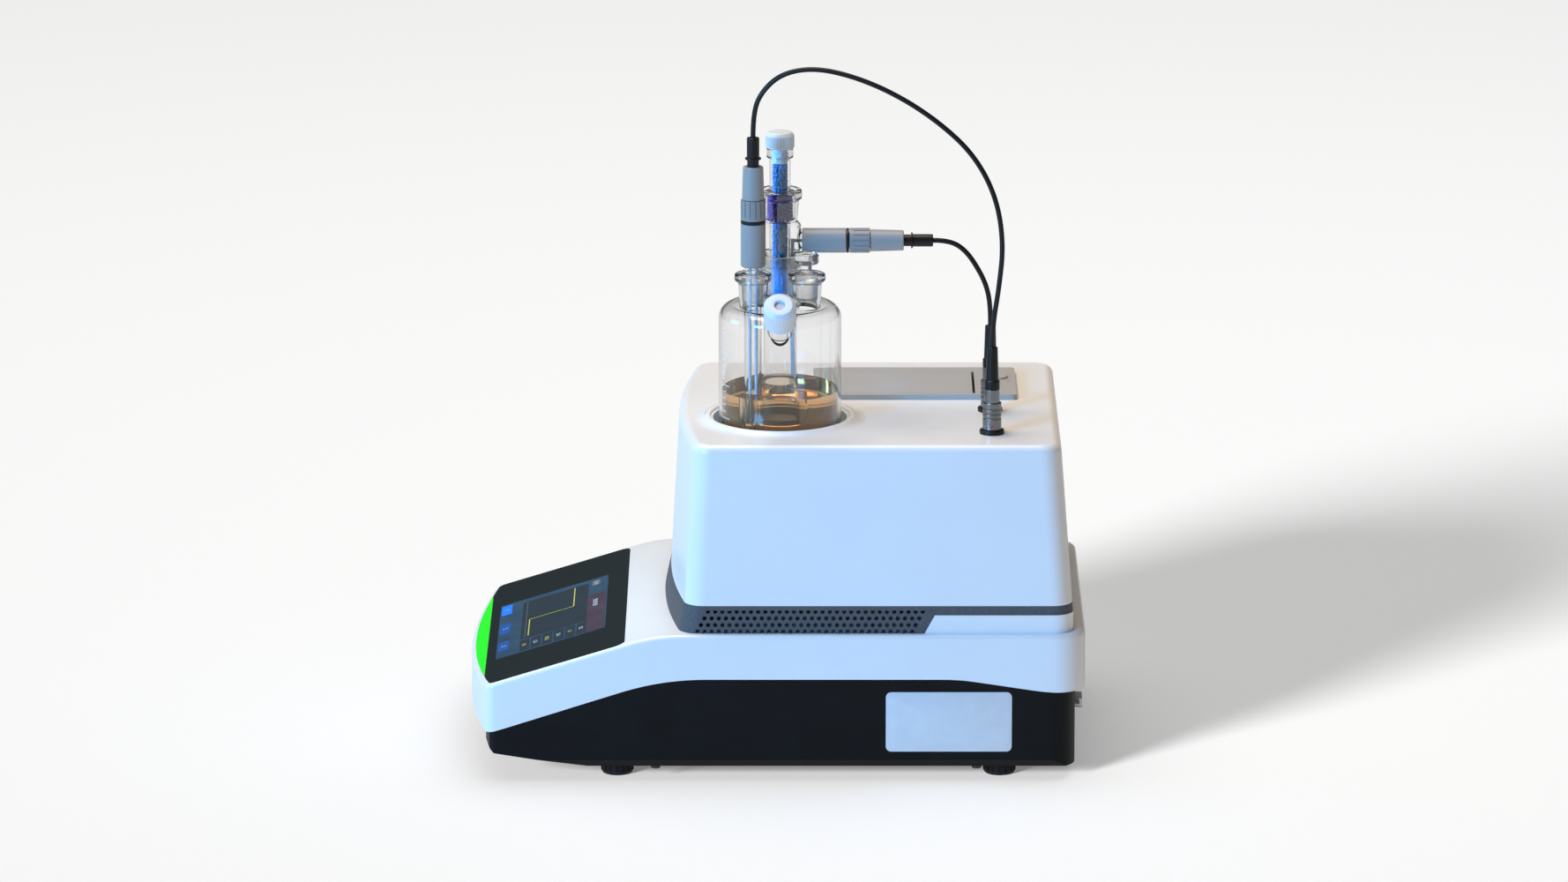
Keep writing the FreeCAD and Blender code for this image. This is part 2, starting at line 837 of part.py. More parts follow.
tray_gap = s.cover_wall + s.shell_gap
tray_plan = inset_plan(tray_gap, s.tray_tail_inset)
tray_outer = common(plan_prism("tray_plan", tray_plan, 0, s.housing_top),
                    prism("tray_side", "XZ_Plane", tray_side(tray_low, 0, s.tray_lap), SPAN, centred=True))
tray_inner_plan = shrink(tray_plan, s.tray_wall)
tray_inner = common(plan_prism("tray_inner_plan", tray_inner_plan, 0, s.housing_top),
                    prism("tray_inner_side", "XZ_Plane",
                          tray_side(floor_top, s.tray_wall, s.tray_lap * 4), SPAN, centred=True))
tray = cut(tray_outer, tray_inner)
bevel = s.tray_chamfer
side_bevel = prism("side_bevel", "YZ_Plane", [
    (half_width - tray_gap - bevel, tray_low - 1), (half_width, tray_low - 1),
    (half_width, tray_low + bevel + tray_gap), (half_width - tray_gap, tray_low + bevel)],
    SPAN, centred=True)
far_bevel = prism("far_bevel", "YZ_Plane", [
    (-half_width + tray_gap + bevel, tray_low - 1), (-half_width + tray_gap, tray_low + bevel),
    (-half_width, tray_low + bevel + tray_gap), (-half_width, tray_low - 1)],
    SPAN, centred=True)
tray_back = tail - s.tray_tail_inset
inlet_hole = box((tray_back - s.tray_wall - 1, tray_back + 1),
                 (s.inlet_y - s.inlet_wide / 2 - s.shell_gap, s.inlet_y + s.inlet_wide / 2 + s.shell_gap),
                 (s.inlet_z - s.inlet_high / 2 - s.shell_gap, s.inlet_z + s.inlet_high / 2 + s.shell_gap))
serial_hole = box((tray_back - s.tray_wall - 1, tray_back + 1),
                  (s.port_socket_y - s.serial_wide / 2 - s.shell_gap,
                   s.port_socket_y + s.serial_wide / 2 + s.shell_gap),
                  (s.inlet_z - s.serial_high / 2 - s.shell_gap,
                      s.inlet_z + s.serial_high / 2 + s.shell_gap))
tray_screw_holes = [cylinder(s.screw_radius + s.running_fit * 2, (0, floor_top + 1), x, y)
                    for x, y in pillar_spots]
node(cut(tray, side_bevel, far_bevel, inlet_hole, serial_hole, *tray_screw_holes), "base_tray")

# Feet: ribbed rubber discs.

foot = turned("foot", [
    (0, 0), (s.foot_radius - 1.5, 0, 1), (s.foot_radius, 2.5, 1), (s.foot_radius, s.foot_height),
    (0, s.foot_height)])
ribbed(foot, s.foot_radius, s.foot_groove, 1.2, size_of(3), s.foot_height + 1, 16)
group("feet", foot, [(x, side * (half_width - s.foot_inset), 0)
                     for x in (nose + s.foot_front, tail - s.foot_rear) for side in (-1, 1)])

screw = turned("screw", [
    (0, -s.screw_head_high), (s.screw_head, -s.screw_head_high, 0.6), (s.screw_head, 0),
    (s.screw_radius, 0), (s.screw_radius, s.tray_floor + s.screw_length),
        (0, s.tray_floor + s.screw_length)])
group("housing_screws", screw, [(x, y, tray_low) for x, y in pillar_spots])


# Vent band: the grey perforated skirt under the housing.

band_top_plan = (band_plan[0] + s.band_flare, band_plan[1] - s.band_taper, band_plan[2] - s.band_taper,
                 s.nose_radius, s.housing_corner, s.housing_corner)
band = plan_loft(band_plan, s.flange_height, band_top_plan, s.band_top)
band_hollow = plan_loft(shrink(band_plan, s.band_wall), s.flange_height,
                        shrink(band_top_plan, s.band_wall), s.band_top)
seat_cut = prism("seat_cut", "XZ_Plane", step_outline(0, s.flange_height - 1), SPAN, centred=True)


def vents():
    """All the vent holes as one shape of separate pins."""
    doc.recompute()
    item = doc.addObject("Part::Feature", "vents")
    pins = []
    for row in range(int(s.vent_rows.value)):
        for i in range(int(s.vent_count.value)):
            x = nose + s.vent_start - s.vent_pitch / 2 * row + s.vent_pitch * i
            z = s.vent_top - s.vent_row * row
            corners = [V(x.value + s.vent_radius.value * math.cos(math.radians(a)), -half_width.value,
                         z.value + s.vent_radius.value * math.sin(math.radians(a)))
                       for a in range(0, 361, 60)]
            face = Part.Face(Part.makePolygon(corners))
            pins.append(face.extrude(V(0, s.body_width.value, 0)))
    item.Shape = Part.makeCompound(pins)
    return item


node(cut(band, band_hollow, seat_cut, vents()), "vent_band")


# Upper housing: the tapered white case that carries the cell and the printer.

housing_plan = (band_top_plan[0] + s.housing_lean_front, band_top_plan[1] - s.housing_lean_back,
                band_top_plan[2] - s.housing_lean_side, s.nose_radius, s.housing_corner, s.housing_corner)
housing_body = plan_loft(band_top_plan, s.band_top, housing_plan, s.housing_top)
housing_body = round_top(housing_body, s.housing_edge)
housing_hollow = plan_loft(shrink(band_top_plan, s.housing_wall), s.band_top,
                           shrink(housing_plan, s.housing_wall), s.housing_top - s.housing_wall)
lip_top = s.housing_top + s.well_lip_height
lip = turned("lip", [
    (s.well_radius, s.housing_top - s.housing_wall),
        (s.well_radius + s.well_lip, s.housing_top - s.housing_wall),
    (s.well_radius + s.well_lip, lip_top, s.well_lip_height * 0.6),
    (s.well_radius, lip_top, s.well_lip_height * 0.4)], s.cell_x, s.cell_y)
well_hole = cylinder(s.well_radius, (s.band_top, lip_top + 1), s.cell_x, s.cell_y)
panel_low = (s.panel_x - s.panel_long / 2, s.panel_y - s.panel_wide / 2)
panel_high = (s.panel_x + s.panel_long / 2, s.panel_y + s.panel_wide / 2)
printer_hole = box((panel_low[0] + s.panel_ledge, panel_high[0] - s.panel_ledge),
                   (panel_low[1] + s.panel_ledge, panel_high[1] - s.panel_ledge),
                   (s.band_top, s.housing_top + 1))
socket_holes = [cylinder(s.barrel_radius + s.joint_gap, (s.band_top, s.housing_top + 1), s.socket_x, y)
                for y in (s.near_socket_y, s.far_socket_y)]
lip_low_plan = shrink(band_top_plan, s.band_wall + s.joint_gap)
inner_lip = cut(plan_prism("inner_lip", lip_low_plan, s.band_top - s.joint_lip, s.band_top + s.joint_lip),
                plan_prism("inner_lip_hollow", shrink(lip_low_plan, s.housing_wall - s.joint_gap),
                           s.band_top - s.joint_lip - 1, s.band_top + s.joint_lip + 1))
housing = fuse(cut(housing_body, housing_hollow), lip, inner_lip)
node(cut(housing, well_hole, printer_hole, *socket_holes), "upper_housing")


# Cell well, with the stirrer under it.

well_low = s.housing_top - s.well_depth
well_outer = s.well_radius - s.joint_gap
well_floor_top = well_low + s.well_floor
ring_inner = s.vessel_radius + s.loose_gap
node(turned("well", [
    (0, well_low), (well_outer, well_low), (well_outer, s.housing_top + 1, 0.5),
    (well_outer - s.well_wall, s.housing_top + 1, 0.5), (well_outer - s.well_wall, well_floor_top),
    (ring_inner + s.well_wall, well_floor_top),
        (ring_inner + s.well_wall, well_floor_top + s.well_ring_height, 0.8),
    (ring_inner, well_floor_top + s.well_ring_height, 0.8), (ring_inner, well_floor_top),
    (0, well_floor_top)], s.cell_x, s.cell_y), "cell_well")

magnet_top = well_low - s.magnet_gap
magnet_low = magnet_top - s.magnet_thick
bracket_floor = magnet_low - s.bracket_gap
bracket_inner = s.magnet_radius + s.bracket_gap
shaft_hole = s.shaft_radius + s.running_fit
node(turned("bracket", [
    (shaft_hole + 2, bracket_floor - s.bracket_wall),
        (bracket_inner + s.bracket_wall, bracket_floor - s.bracket_wall, 3),
    (bracket_inner + s.bracket_wall, well_low), (bracket_inner, well_low), (bracket_inner, bracket_floor),
    (shaft_hole + 2, bracket_floor)], s.cell_x, s.cell_y), "stirrer_bracket")
motor_top = bracket_floor - s.bracket_wall
node(turned("motor", [
    (0, motor_top - s.motor_length), (s.motor_radius, motor_top - s.motor_length, 2),
    (s.motor_radius, motor_top, 1), (shaft_hole, motor_top), (shaft_hole, motor_top - s.shaft_depth),
    (0, motor_top - s.shaft_depth)], s.cell_x, s.cell_y), "stirrer_motor")
carrier = turned("carrier", [
    (0, motor_top - s.shaft_depth + s.loose_gap), (s.shaft_radius, motor_top - s.shaft_depth + s.loose_gap),
    (s.shaft_radius, magnet_low), (s.magnet_radius, magnet_low, 1), (s.magnet_radius, magnet_top, 1),
    (0, magnet_top)], s.cell_x, s.cell_y)
magnet_spots = [(s.cell_x + side * s.magnet_spacing, s.cell_y) for side in (-1, 1)]
magnet_seat = magnet_top - s.magnet_thick * 0.6
node(cut(carrier, *[cylinder(s.magnet_bore, (magnet_seat, magnet_top + 1), x, y) for x, y in magnet_spots]),
     "drive_magnet_carrier")
magnet = turned("magnet", [(0, 0), (s.magnet_bore, 0), (s.magnet_bore, s.magnet_thick * 0.6 + 0.5, 0.5),
                           (0, s.magnet_thick * 0.6 + 0.5)])
group("drive_magnets", magnet, [(x, y, magnet_seat) for x, y in magnet_spots])


# Glass vessel with three necks and the injection port.

vessel_low = well_floor_top + s.loose_gap
side_top = vessel_low + s.vessel_side
dome_top = side_top + s.vessel_dome
wall = s.vessel_wall
outer_r = s.vessel_radius
neck_top = vessel_low + s.neck_rise
main_top = vessel_low + s.main_neck_rise
necks = [(s.cell_x + side * s.neck_x, s.cell_y + s.neck_y) for side in (-1, 1)]
main_neck = (s.cell_x, s.cell_y + s.main_neck_y)


def neck_bore(height, side_neck=True):
    """Inner radius of a neck's ground cone at a height below its rim."""
    radius, taper, length, thick = (s.neck_radius, s.neck_taper, s.neck_length, s.neck_wall)
    if not side_neck:
        radius, taper, length, thick = (s.main_neck_radius, s.neck_taper, s.main_neck_length,
            s.main_neck_wall)
    return radius - thick - taper * height / length


def neck_tube(name, spot, top, radius, length, rim_radius, rim):
    """Outside of a neck, widening to its beaded rim."""
    return turned(name, [
        (0, top - length - 4), (radius - s.neck_taper - 0.2, top - length - 4),
        (radius - s.neck_taper, top - length), (radius, top - rim - 2, 2),
        (rim_radius, top - rim, 1), (rim_radius, top, 1.5), (0, top)], spot[0], spot[1])


def neck_hole(name, spot, top, radius, thick, length):
    """Bore of a neck, tapering down and through the top of the vessel."""
    inner = radius - thick
    return turned(name, [
        (0, dome_top - 12), (inner - s.neck_taper, dome_top - 12), (inner - s.neck_taper, top - length),
        (inner, top + 0.01), (0, top + 0.01)], spot[0], spot[1])


vessel_outer = turned("vessel_outer", [
    (0, vessel_low), (outer_r, vessel_low, s.vessel_foot), (outer_r, side_top + 4, s.vessel_shoulder),
    (0, dome_top)], s.cell_x, s.cell_y)
vessel_inner = turned("vessel_inner", [
    (0, vessel_low + wall), (outer_r - wall, vessel_low + wall, s.vessel_foot - 2),
    (outer_r - wall, side_top + 4 - wall, s.vessel_shoulder - wall), (0, dome_top - wall)],
        s.cell_x, s.cell_y)
port_turn = FreeCAD.Rotation(V(1, 0, 0), s.port_tilt.value)
port_at = (s.cell_x, s.cell_y + s.port_y, vessel_low + s.port_z)


def along_port(name, corners):
    """A piece turned about the injection port's axis."""
    return turned(name, corners, port_at[0], port_at[1], port_at[2], port_turn)


port_bore = s.port_radius - s.port_wall
port_tube = along_port("port_tube", [
    (0, s.port_start), (s.port_radius, s.port_start), (s.port_radius, s.port_end, 0.8), (0, s.port_end)])
port_hole = along_port("port_hole", [
    (0, s.port_start - 9), (port_bore, s.port_start - 9), (port_bore, s.port_end + 1), (0, s.port_end + 1)])
glass_outside = [vessel_outer, port_tube]
glass_holes = [vessel_inner, port_hole]
for i, spot in enumerate(necks):
    glass_outside.append(neck_tube(f"neck{i}", spot, neck_top, s.neck_radius, s.neck_length,
                                   s.neck_rim_radius, s.neck_rim))
    glass_holes.append(neck_hole(f"neck_hole{i}", spot, neck_top, s.neck_radius, s.neck_wall,
        s.neck_length))
glass_outside.append(neck_tube("main_neck", main_neck, main_top, s.main_neck_radius, s.main_neck_length,
                               s.main_neck_rim_radius, s.main_neck_rim))
glass_holes.append(neck_hole("main_neck_hole", main_neck, main_top, s.main_neck_radius,
                             s.main_neck_wall, s.main_neck_length))
node(cut(fuse(*glass_outside), *glass_holes), "vessel")

cap_end = s.port_end + s.loose_gap + s.septum_thick + s.running_fit + s.cap_top
cap_start = cap_end - s.cap_length
cap_bore = s.port_radius + s.loose_gap
injection_cap = along_port("injection_cap", [
    (cap_bore, cap_start), (s.cap_radius, cap_start, 0.5), (s.cap_radius, cap_end, 1.6),
    (s.cap_hole, cap_end, 0.6), (s.cap_hole, cap_end - s.cap_top), (cap_bore, cap_end - s.cap_top)])
ribbed(injection_cap, s.cap_radius, s.cap_rib, 0.9, cap_start - 0.5, cap_end - 4.5, 24)
node(injection_cap, "injection_cap")
septum_low = s.port_end + s.loose_gap
node(along_port("septum", [
    (0, septum_low), (s.port_radius - 0.4, septum_low), (s.port_radius - 0.4, septum_low + s.septum_thick),
    (0, septum_low + s.septum_thick)]), "injection_septum")

stopper_low = neck_top - s.neck_length + 2


def stopper_radius(height):
    return neck_bore(neck_top - height) - s.loose_gap


stopper_top = neck_top + s.stopper_rise + s.stopper_disc_thick
node(turned("stopper", [
    (0, stopper_low), (stopper_radius(stopper_low), stopper_low, 1), (stopper_radius(neck_top),
        neck_top, 0.5),
    (s.stopper_neck, neck_top + 2, 1), (s.stopper_neck, neck_top + s.stopper_rise - 1),
    (s.stopper_disc, neck_top + s.stopper_rise + 1, 1.5), (s.stopper_disc, stopper_top, 2),
    (0, stopper_top)], necks[1][0], necks[1][1]), "stopper")


# Electrode fittings: head, seal, collar, cone and strain relief on one axis.

def electrode_fittings(prefix, x, y, z, rotation=None):
    """The connector stack of one electrode, from its own axis' zero at the head's glass end."""
    def piece(name, corners):
        return turned(prefix + "_" + name, corners, x, y, z, rotation)

    length = s.head_length
    seal_low = length + s.joint_gap
    collar_low = seal_low + s.seal_thick + s.loose_gap
    collar_high = collar_low + s.collar_length
    cone_low = collar_high + s.loose_gap
    cone_high = cone_low + s.cone_length
    relief_high = cone_high + s.relief_length
    spigot = s.collar_bore
    socket = (s.stem_radius + s.joint_gap)
    node(piece("head", [
        (0, length), (0, length - 12), (socket, length - 12), (socket, 0),
        (s.head_radius, 0, 1.2), (s.head_radius, length, 0.6)][::-1]), prefix + "_head")
    node(piece("seal", [
        (spigot + s.joint_gap, seal_low), (s.head_radius, seal_low, 0.6),
            (s.head_radius, seal_low + s.seal_thick, 0.6),
        (spigot + s.joint_gap, seal_low + s.seal_thick)]), prefix + "_seal")
    collar = piece("collar", [
        (spigot + s.running_fit, collar_low), (s.head_radius, collar_low, 0.5),
        (s.head_radius, collar_high, 0.5), (spigot + s.running_fit, collar_high)])
    ribbed(collar, s.head_radius, 0.5, 0.8, collar_low + 3, collar_high + 1, 14)
    node(collar, prefix + "_collar")
    node(piece("cone", [
        (0, length + s.joint_gap), (spigot, length + s.joint_gap), (spigot, cone_low),
            (s.cone_base, cone_low, 0.4),
        (s.cone_tip, cone_high, 1), (0, cone_high)]), prefix + "_cone")
    flange = cone_high + s.relief_flange_at
    node(piece("relief", [
        (0, cone_high), (s.relief_radius - 0.3, cone_high), (s.relief_radius - 0.3, flange),
        (s.relief_flange, flange), (s.relief_flange, flange + 1), (s.relief_radius, flange + 1.5),
        (s.relief_radius, relief_high, 0.8), (0, relief_high)]), prefix + "_relief")
    return relief_high


head_low = neck_top + s.head_lift
measuring_x, measuring_y = necks[0]
stack_length = electrode_fittings("measuring", measuring_x, measuring_y, head_low)

stem_low = vessel_low + s.stem_bottom
stem_cone_low = neck_top - s.neck_length
stem_in = s.stem_radius - s.stem_wall
stem = turned("stem", [
    (0, stem_low), (s.stem_radius, stem_low, 3), (s.stem_radius, stem_cone_low - 1),
    (neck_bore(neck_top - stem_cone_low) - s.joint_gap, stem_cone_low + 1),
    (neck_bore(neck_top - neck_top) - s.joint_gap, neck_top), (s.stem_radius, neck_top + 1),
    (s.stem_radius, head_low + s.head_length - 12 - s.joint_gap),
        (stem_in, head_low + s.head_length - 12 - s.joint_gap),
    (stem_in, stem_low + s.stem_wall * 2, 2), (0, stem_low + s.stem_wall * 2)], measuring_x, measuring_y)
pin_holes = [cylinder(s.pin_radius, (stem_low - 1, stem_low + s.stem_wall * 2 + 1),
                      measuring_x + side * s.wire_offset, measuring_y) for side in (-1, 1)]
node(cut(stem, *pin_holes), "measuring_stem")
wire_low = stem_low + s.stem_wall * 2
pin = turned("pin", [
    (0, stem_low - s.pin_reach), (s.pin_radius, stem_low - s.pin_reach), (s.pin_radius, wire_low),
    (s.wire_radius, wire_low), (s.wire_radius, head_low + s.head_length - 12 - s.joint_gap),
    (0, head_low + s.head_length - 12 - s.joint_gap)])
group("platinum_pins", pin, [(measuring_x + side * s.wire_offset, measuring_y, 0) for side in (-1, 1)])


# Generator electrode: a tube with a frit at its foot and a socket for the drying tube.

gen_x, gen_y = main_neck
gen_low = vessel_low + s.generator_bottom
gen_cone_low = main_top - s.main_neck_length
gen_wall = s.generator_wall
bulge_low = vessel_low + s.bulge_low
bulge_high = vessel_low + s.bulge_high
socket_low = vessel_low + s.socket_low
socket_top = vessel_low + s.socket_rise
gap = s.joint_gap
gen_cone_top = neck_bore(size_of(0), False) - gap
gen_cone_bottom = neck_bore(s.main_neck_length, False) - gap
socket_bottom_radius = s.socket_radius - s.socket_taper
generator_outer = turned("generator_outer", [
    (0, gen_low), (s.generator_radius, gen_low, 1), (s.generator_radius, gen_cone_low - 1),
    (gen_cone_bottom, gen_cone_low + 1), (gen_cone_top, main_top),
    (s.generator_bulge, bulge_low, 2), (s.generator_bulge, bulge_high, 2),
    (socket_bottom_radius, socket_low, 1), (s.socket_radius, socket_top - s.socket_rim - 1, 1),
    (s.socket_rim_radius, socket_top - s.socket_rim, 1), (s.socket_rim_radius, socket_top, 2),
        (0, socket_top)],
    gen_x, gen_y)
generator_inner = turned("generator_inner", [
    (0, gen_low - 1), (s.generator_radius - gen_wall, gen_low - 1),
        (s.generator_radius - gen_wall, gen_cone_low),
    (gen_cone_top - gen_wall - 0.6, main_top), (s.generator_bulge - gen_wall, bulge_low, 2),
    (s.generator_bulge - gen_wall, bulge_high, 2), (socket_bottom_radius - gen_wall, socket_low),
    (s.socket_radius - gen_wall, socket_top + 0.01), (0, socket_top + 0.01)], gen_x, gen_y)
arm_z = vessel_low + s.arm_rise
arm_end = gen_x + s.arm_reach + s.head_length - 12 - gap
arm = lying_cylinder(s.stem_radius, (gen_x + s.generator_bulge - 3, arm_end), "X", (gen_y, arm_z))
arm_hole = lying_cylinder(s.stem_radius - s.arm_wall, (gen_x, arm_end + 1), "X", (gen_y, arm_z))
node(cut(fuse(generator_outer, arm), generator_inner, arm_hole), "generator_glass")
electrode_fittings("generator", gen_x + s.arm_reach, gen_y, arm_z, FreeCAD.Rotation(V(0, 1, 0), 90))

frit_radius = s.generator_radius - gen_wall - gap / 3
node(turned("frit", [
    (0, gen_low), (frit_radius, gen_low), (frit_radius, gen_low + s.frit_thick),
        (0, gen_low + s.frit_thick)],
    gen_x, gen_y), "diaphragm")
lead_x = gen_x + s.lead_offset
lead_drop = cylinder(s.lead_radius, (vessel_low + s.lead_bottom, arm_z + s.lead_radius), lead_x, gen_y)
lead_arm = lying_cylinder(s.lead_radius, (lead_x - s.lead_radius, arm_end), "X", (gen_y, arm_z))
node(fuse(lead_drop, lead_arm), "cathode_lead")

# Drying tube, its filling and its cap.

tube_low = vessel_low + s.tube_bottom
tube_top = vessel_low + s.tube_rise
cone_gap = s.loose_gap


def socket_bore(height):
    """Inner radius of the drying tube's socket at a height."""
    bottom = socket_bottom_radius - gen_wall
    top = s.socket_radius - gen_wall
    return bottom + (top - bottom) * (height - socket_low) / (socket_top - socket_low)


tube_cone_low = socket_low + 1.5
tube_cone_top = socket_top - 2
tube_in = s.tube_radius - s.tube_wall
node(turned("drying_tube", [
    (1.5, tube_low), (s.tube_radius, tube_low, 2), (s.tube_radius, tube_cone_low - 2, 1),
    (socket_bore(tube_cone_low) - cone_gap, tube_cone_low, 0.8),
    (socket_bore(tube_cone_top) - cone_gap, tube_cone_top, 0.8), (s.tube_radius, tube_cone_top + 2, 1),
    (s.tube_radius, tube_top - s.tube_rim - 1), (s.tube_rim_radius, tube_top - s.tube_rim, 0.5),
    (s.tube_rim_radius, tube_top, 1), (tube_in, tube_top), (tube_in, tube_cone_top),
    (socket_bore(tube_cone_top) - cone_gap - s.tube_wall, tube_cone_top - 1.5),
    (socket_bore(tube_cone_low) - cone_gap - s.tube_wall, tube_cone_low + 1.5),
    (tube_in, tube_cone_low), (tube_in, tube_low + s.tube_wall), (1.5, tube_low + s.tube_wall)],
    gen_x, gen_y), "drying_tube")
bead_r = tube_in - s.bead_gap
node(turned("desiccant", [
    (0, tube_low + s.tube_wall), (bead_r, tube_low + s.tube_wall), (bead_r, tube_cone_low + 1),
    (socket_bore(tube_cone_low) - cone_gap - s.tube_wall - s.bead_gap, tube_cone_low + 2),
    (socket_bore(tube_cone_top) - cone_gap - s.tube_wall - s.bead_gap, tube_cone_top - 2),
    (bead_r, tube_cone_top - 1), (bead_r, vessel_low + s.bead_top), (0, vessel_low + s.bead_top)],
    gen_x, gen_y), "desiccant")
cap_low = tube_top + s.loose_gap
drying_cap = turned("drying_cap", [
    (0, tube_top - s.drying_plug_length), (bead_r, tube_top - s.drying_plug_length, 0.6), (bead_r, cap_low),
    (s.drying_cap_radius, cap_low, 0.8), (s.drying_cap_radius, cap_low + s.drying_cap_height, 2),
    (0, cap_low + s.drying_cap_height)], gen_x, gen_y)
ribbed(drying_cap, s.drying_cap_radius, 0.5, 0.9, cap_low - 0.5, cap_low + s.drying_cap_height - 2.5, 20)
node(drying_cap, "drying_cap")


# Stir bar and electrolyte.

bar_z = vessel_low + wall + s.loose_gap + s.bar_radius
bar_half = s.bar_length / 2
node(turned("stir_bar", [
    (0, -bar_half), (s.bar_radius, -bar_half, 2.5), (s.bar_radius, bar_half, 2.5), (0, bar_half)],
    s.cell_x, s.cell_y, bar_z, FreeCAD.Rotation(V(0, 1, 0), 90)), "stir_bar")
liquid_top = vessel_low + s.liquid_height
liquid_r = outer_r - wall - s.loose_gap
liquid = turned("liquid", [
    (0, vessel_low + wall + s.loose_gap), (liquid_r, vessel_low + wall + s.loose_gap, s.vessel_foot - 2),
    (liquid_r, liquid_top), (0, liquid_top)], s.cell_x, s.cell_y)
immersed = [
    cylinder(s.stem_radius + gap, (stem_low - s.pin_reach - 1, liquid_top + 1), measuring_x, measuring_y),
    cylinder(s.generator_radius + gap, (gen_low - gap, liquid_top + 1), gen_x, gen_y),
    cylinder(bar_half + s.loose_gap * 2, (vessel_low, bar_z + s.bar_radius + s.loose_gap),
        s.cell_x, s.cell_y)]
node(cut(liquid, *immersed), "electrolyte")


# Printer: panel and paper bay, lid, platen, paper and feed button.

panel_top = s.housing_top + s.panel_rise
lid_gap = s.loose_gap
lid_end = s.lid_start + s.lid_long
lid_low_y = s.lid_y - s.lid_wide / 2
lid_high_y = s.lid_y + s.lid_wide / 2
hinge_x = s.lid_start + s.lid_thick / 2
hinge_z = panel_top - s.lid_thick / 2
bay_low = s.housing_top - s.bay_depth
corner = s.panel_corner
panel = prism("panel", "XY_Plane", [
    (panel_low[0], panel_low[1], corner), (panel_high[0], panel_low[1], corner),
    (panel_high[0], panel_high[1], corner), (panel_low[0], panel_high[1], corner)],
    s.panel_rise, raised=s.housing_top)
bay_shell = box((s.lid_start - s.bay_wall - lid_gap, lid_end + s.slit + s.head_block + s.bay_wall),
                (lid_low_y - lid_gap - s.bay_wall, lid_high_y + lid_gap + s.bay_wall),
                (bay_low - s.bay_wall, s.housing_top))
bay_hollow = box((s.lid_start - lid_gap, lid_end + s.slit), (lid_low_y - lid_gap, lid_high_y + lid_gap),
                 (bay_low, panel_top + 1))
head_pocket = box((lid_end + s.slit - 1, lid_end + s.slit + s.head_block),
                  (lid_low_y - lid_gap, lid_high_y + lid_gap), (bay_low, s.housing_top))
hinge_pins = [lying_cylinder(s.hinge_radius, span, "Y", (hinge_x, hinge_z)) for span in (
    (lid_low_y - lid_gap - 1, lid_low_y + 3), (lid_high_y - 3, lid_high_y + lid_gap + 1))]
button_hole = cylinder(s.button_radius + lid_gap, (s.housing_top - 1, panel_top + 1),
    s.button_x, s.button_y)
bezel = cut(fuse(panel, bay_shell), bay_hollow, head_pocket, button_hole)
node(fuse(bezel, *hinge_pins), "printer_bezel")

cheek_low = panel_top - s.platen_drop - s.platen_radius
platen_z = panel_top - s.platen_drop
lid_plate = prism("lid_plate", "XZ_Plane", [
    (s.lid_start, panel_top - s.lid_thick, s.lid_thick / 2 - 0.01),
        (s.lid_start + 9, panel_top - s.lid_thick),
    (s.lid_start + 12, panel_top - s.lid_skin), (lid_end, panel_top - s.lid_skin),
    (lid_end, panel_top, 0.8), (s.lid_start, panel_top, s.lid_thick / 2 - 0.01)],
    s.lid_wide, raised=-s.lid_y, centred=True)
cheeks = [prism("cheek", "XZ_Plane", [
    (s.platen_x - 4, cheek_low + 2, 2), (s.platen_x + 3, cheek_low + 2, 2), (s.platen_x + 3, panel_top - 1),
    (s.platen_x - 9, panel_top - 1)], s.cheek, raised=-place_y) for place_y in (
    lid_low_y + s.cheek + 1, lid_high_y - 1)]
pin_bores = [lying_cylinder(s.hinge_radius + s.running_fit, span, "Y", (hinge_x, hinge_z)) for span in (
    (lid_low_y - 1, lid_low_y + 3.5), (lid_high_y - 3.5, lid_high_y + 1))]
axle_bore = lying_cylinder(s.axle_radius + s.running_fit, (lid_low_y - 1, lid_high_y + 1), "Y",
                           (s.platen_x, platen_z))
node(cut(fuse(lid_plate, *cheeks), axle_bore, *pin_bores), "printer_lid")

platen_half = s.roll_width / 2 - 0.5
node(fuse(
    lying_cylinder(s.platen_radius, (s.lid_y - platen_half, s.lid_y + platen_half),
        "Y", (s.platen_x, platen_z)),
    lying_cylinder(s.axle_radius, (lid_low_y + 0.8, lid_high_y - 0.8), "Y", (s.platen_x, platen_z))),
    "platen_roller")
head_face = lid_end + s.slit - 0.6
node(box((head_face, lid_end + s.slit + s.head_block), (s.lid_y - platen_half, s.lid_y + platen_half),
         (platen_z - 7, platen_z + 4)), "print_head")

roll_z = bay_low + s.roll_radius + lid_gap
roll_half = s.roll_width / 2
paper = lying_cylinder(s.roll_radius, (s.lid_y - roll_half, s.lid_y + roll_half), "Y", (s.roll_x, roll_z))
core_span = (s.lid_y - roll_half - 0.5, s.lid_y + roll_half + 0.5)
node(cut(paper, lying_cylinder(s.core_radius, core_span, "Y", (s.roll_x, roll_z))), "paper_roll")
core = lying_cylinder(s.core_radius - 0.05, (s.lid_y - roll_half, s.lid_y + roll_half),
    "Y", (s.roll_x, roll_z))
node(cut(core, lying_cylinder(s.core_radius - 1.5, core_span, "Y", (s.roll_x, roll_z))), "paper_core")

node(turned("button", [
    (0, s.housing_top - 5), (3, s.housing_top - 5, 0.5), (3, s.housing_top - 2.3),
        (s.button_radius + 0.8, s.housing_top - 2.3),
    (s.button_radius + 0.8, s.housing_top - lid_gap), (s.button_radius, s.housing_top - lid_gap),
    (s.button_radius, panel_top + s.button_proud, 0.8), (0, panel_top + s.button_proud)],
    s.button_x, s.button_y), "feed_button")


# Push-pull sockets and plugs on the top.

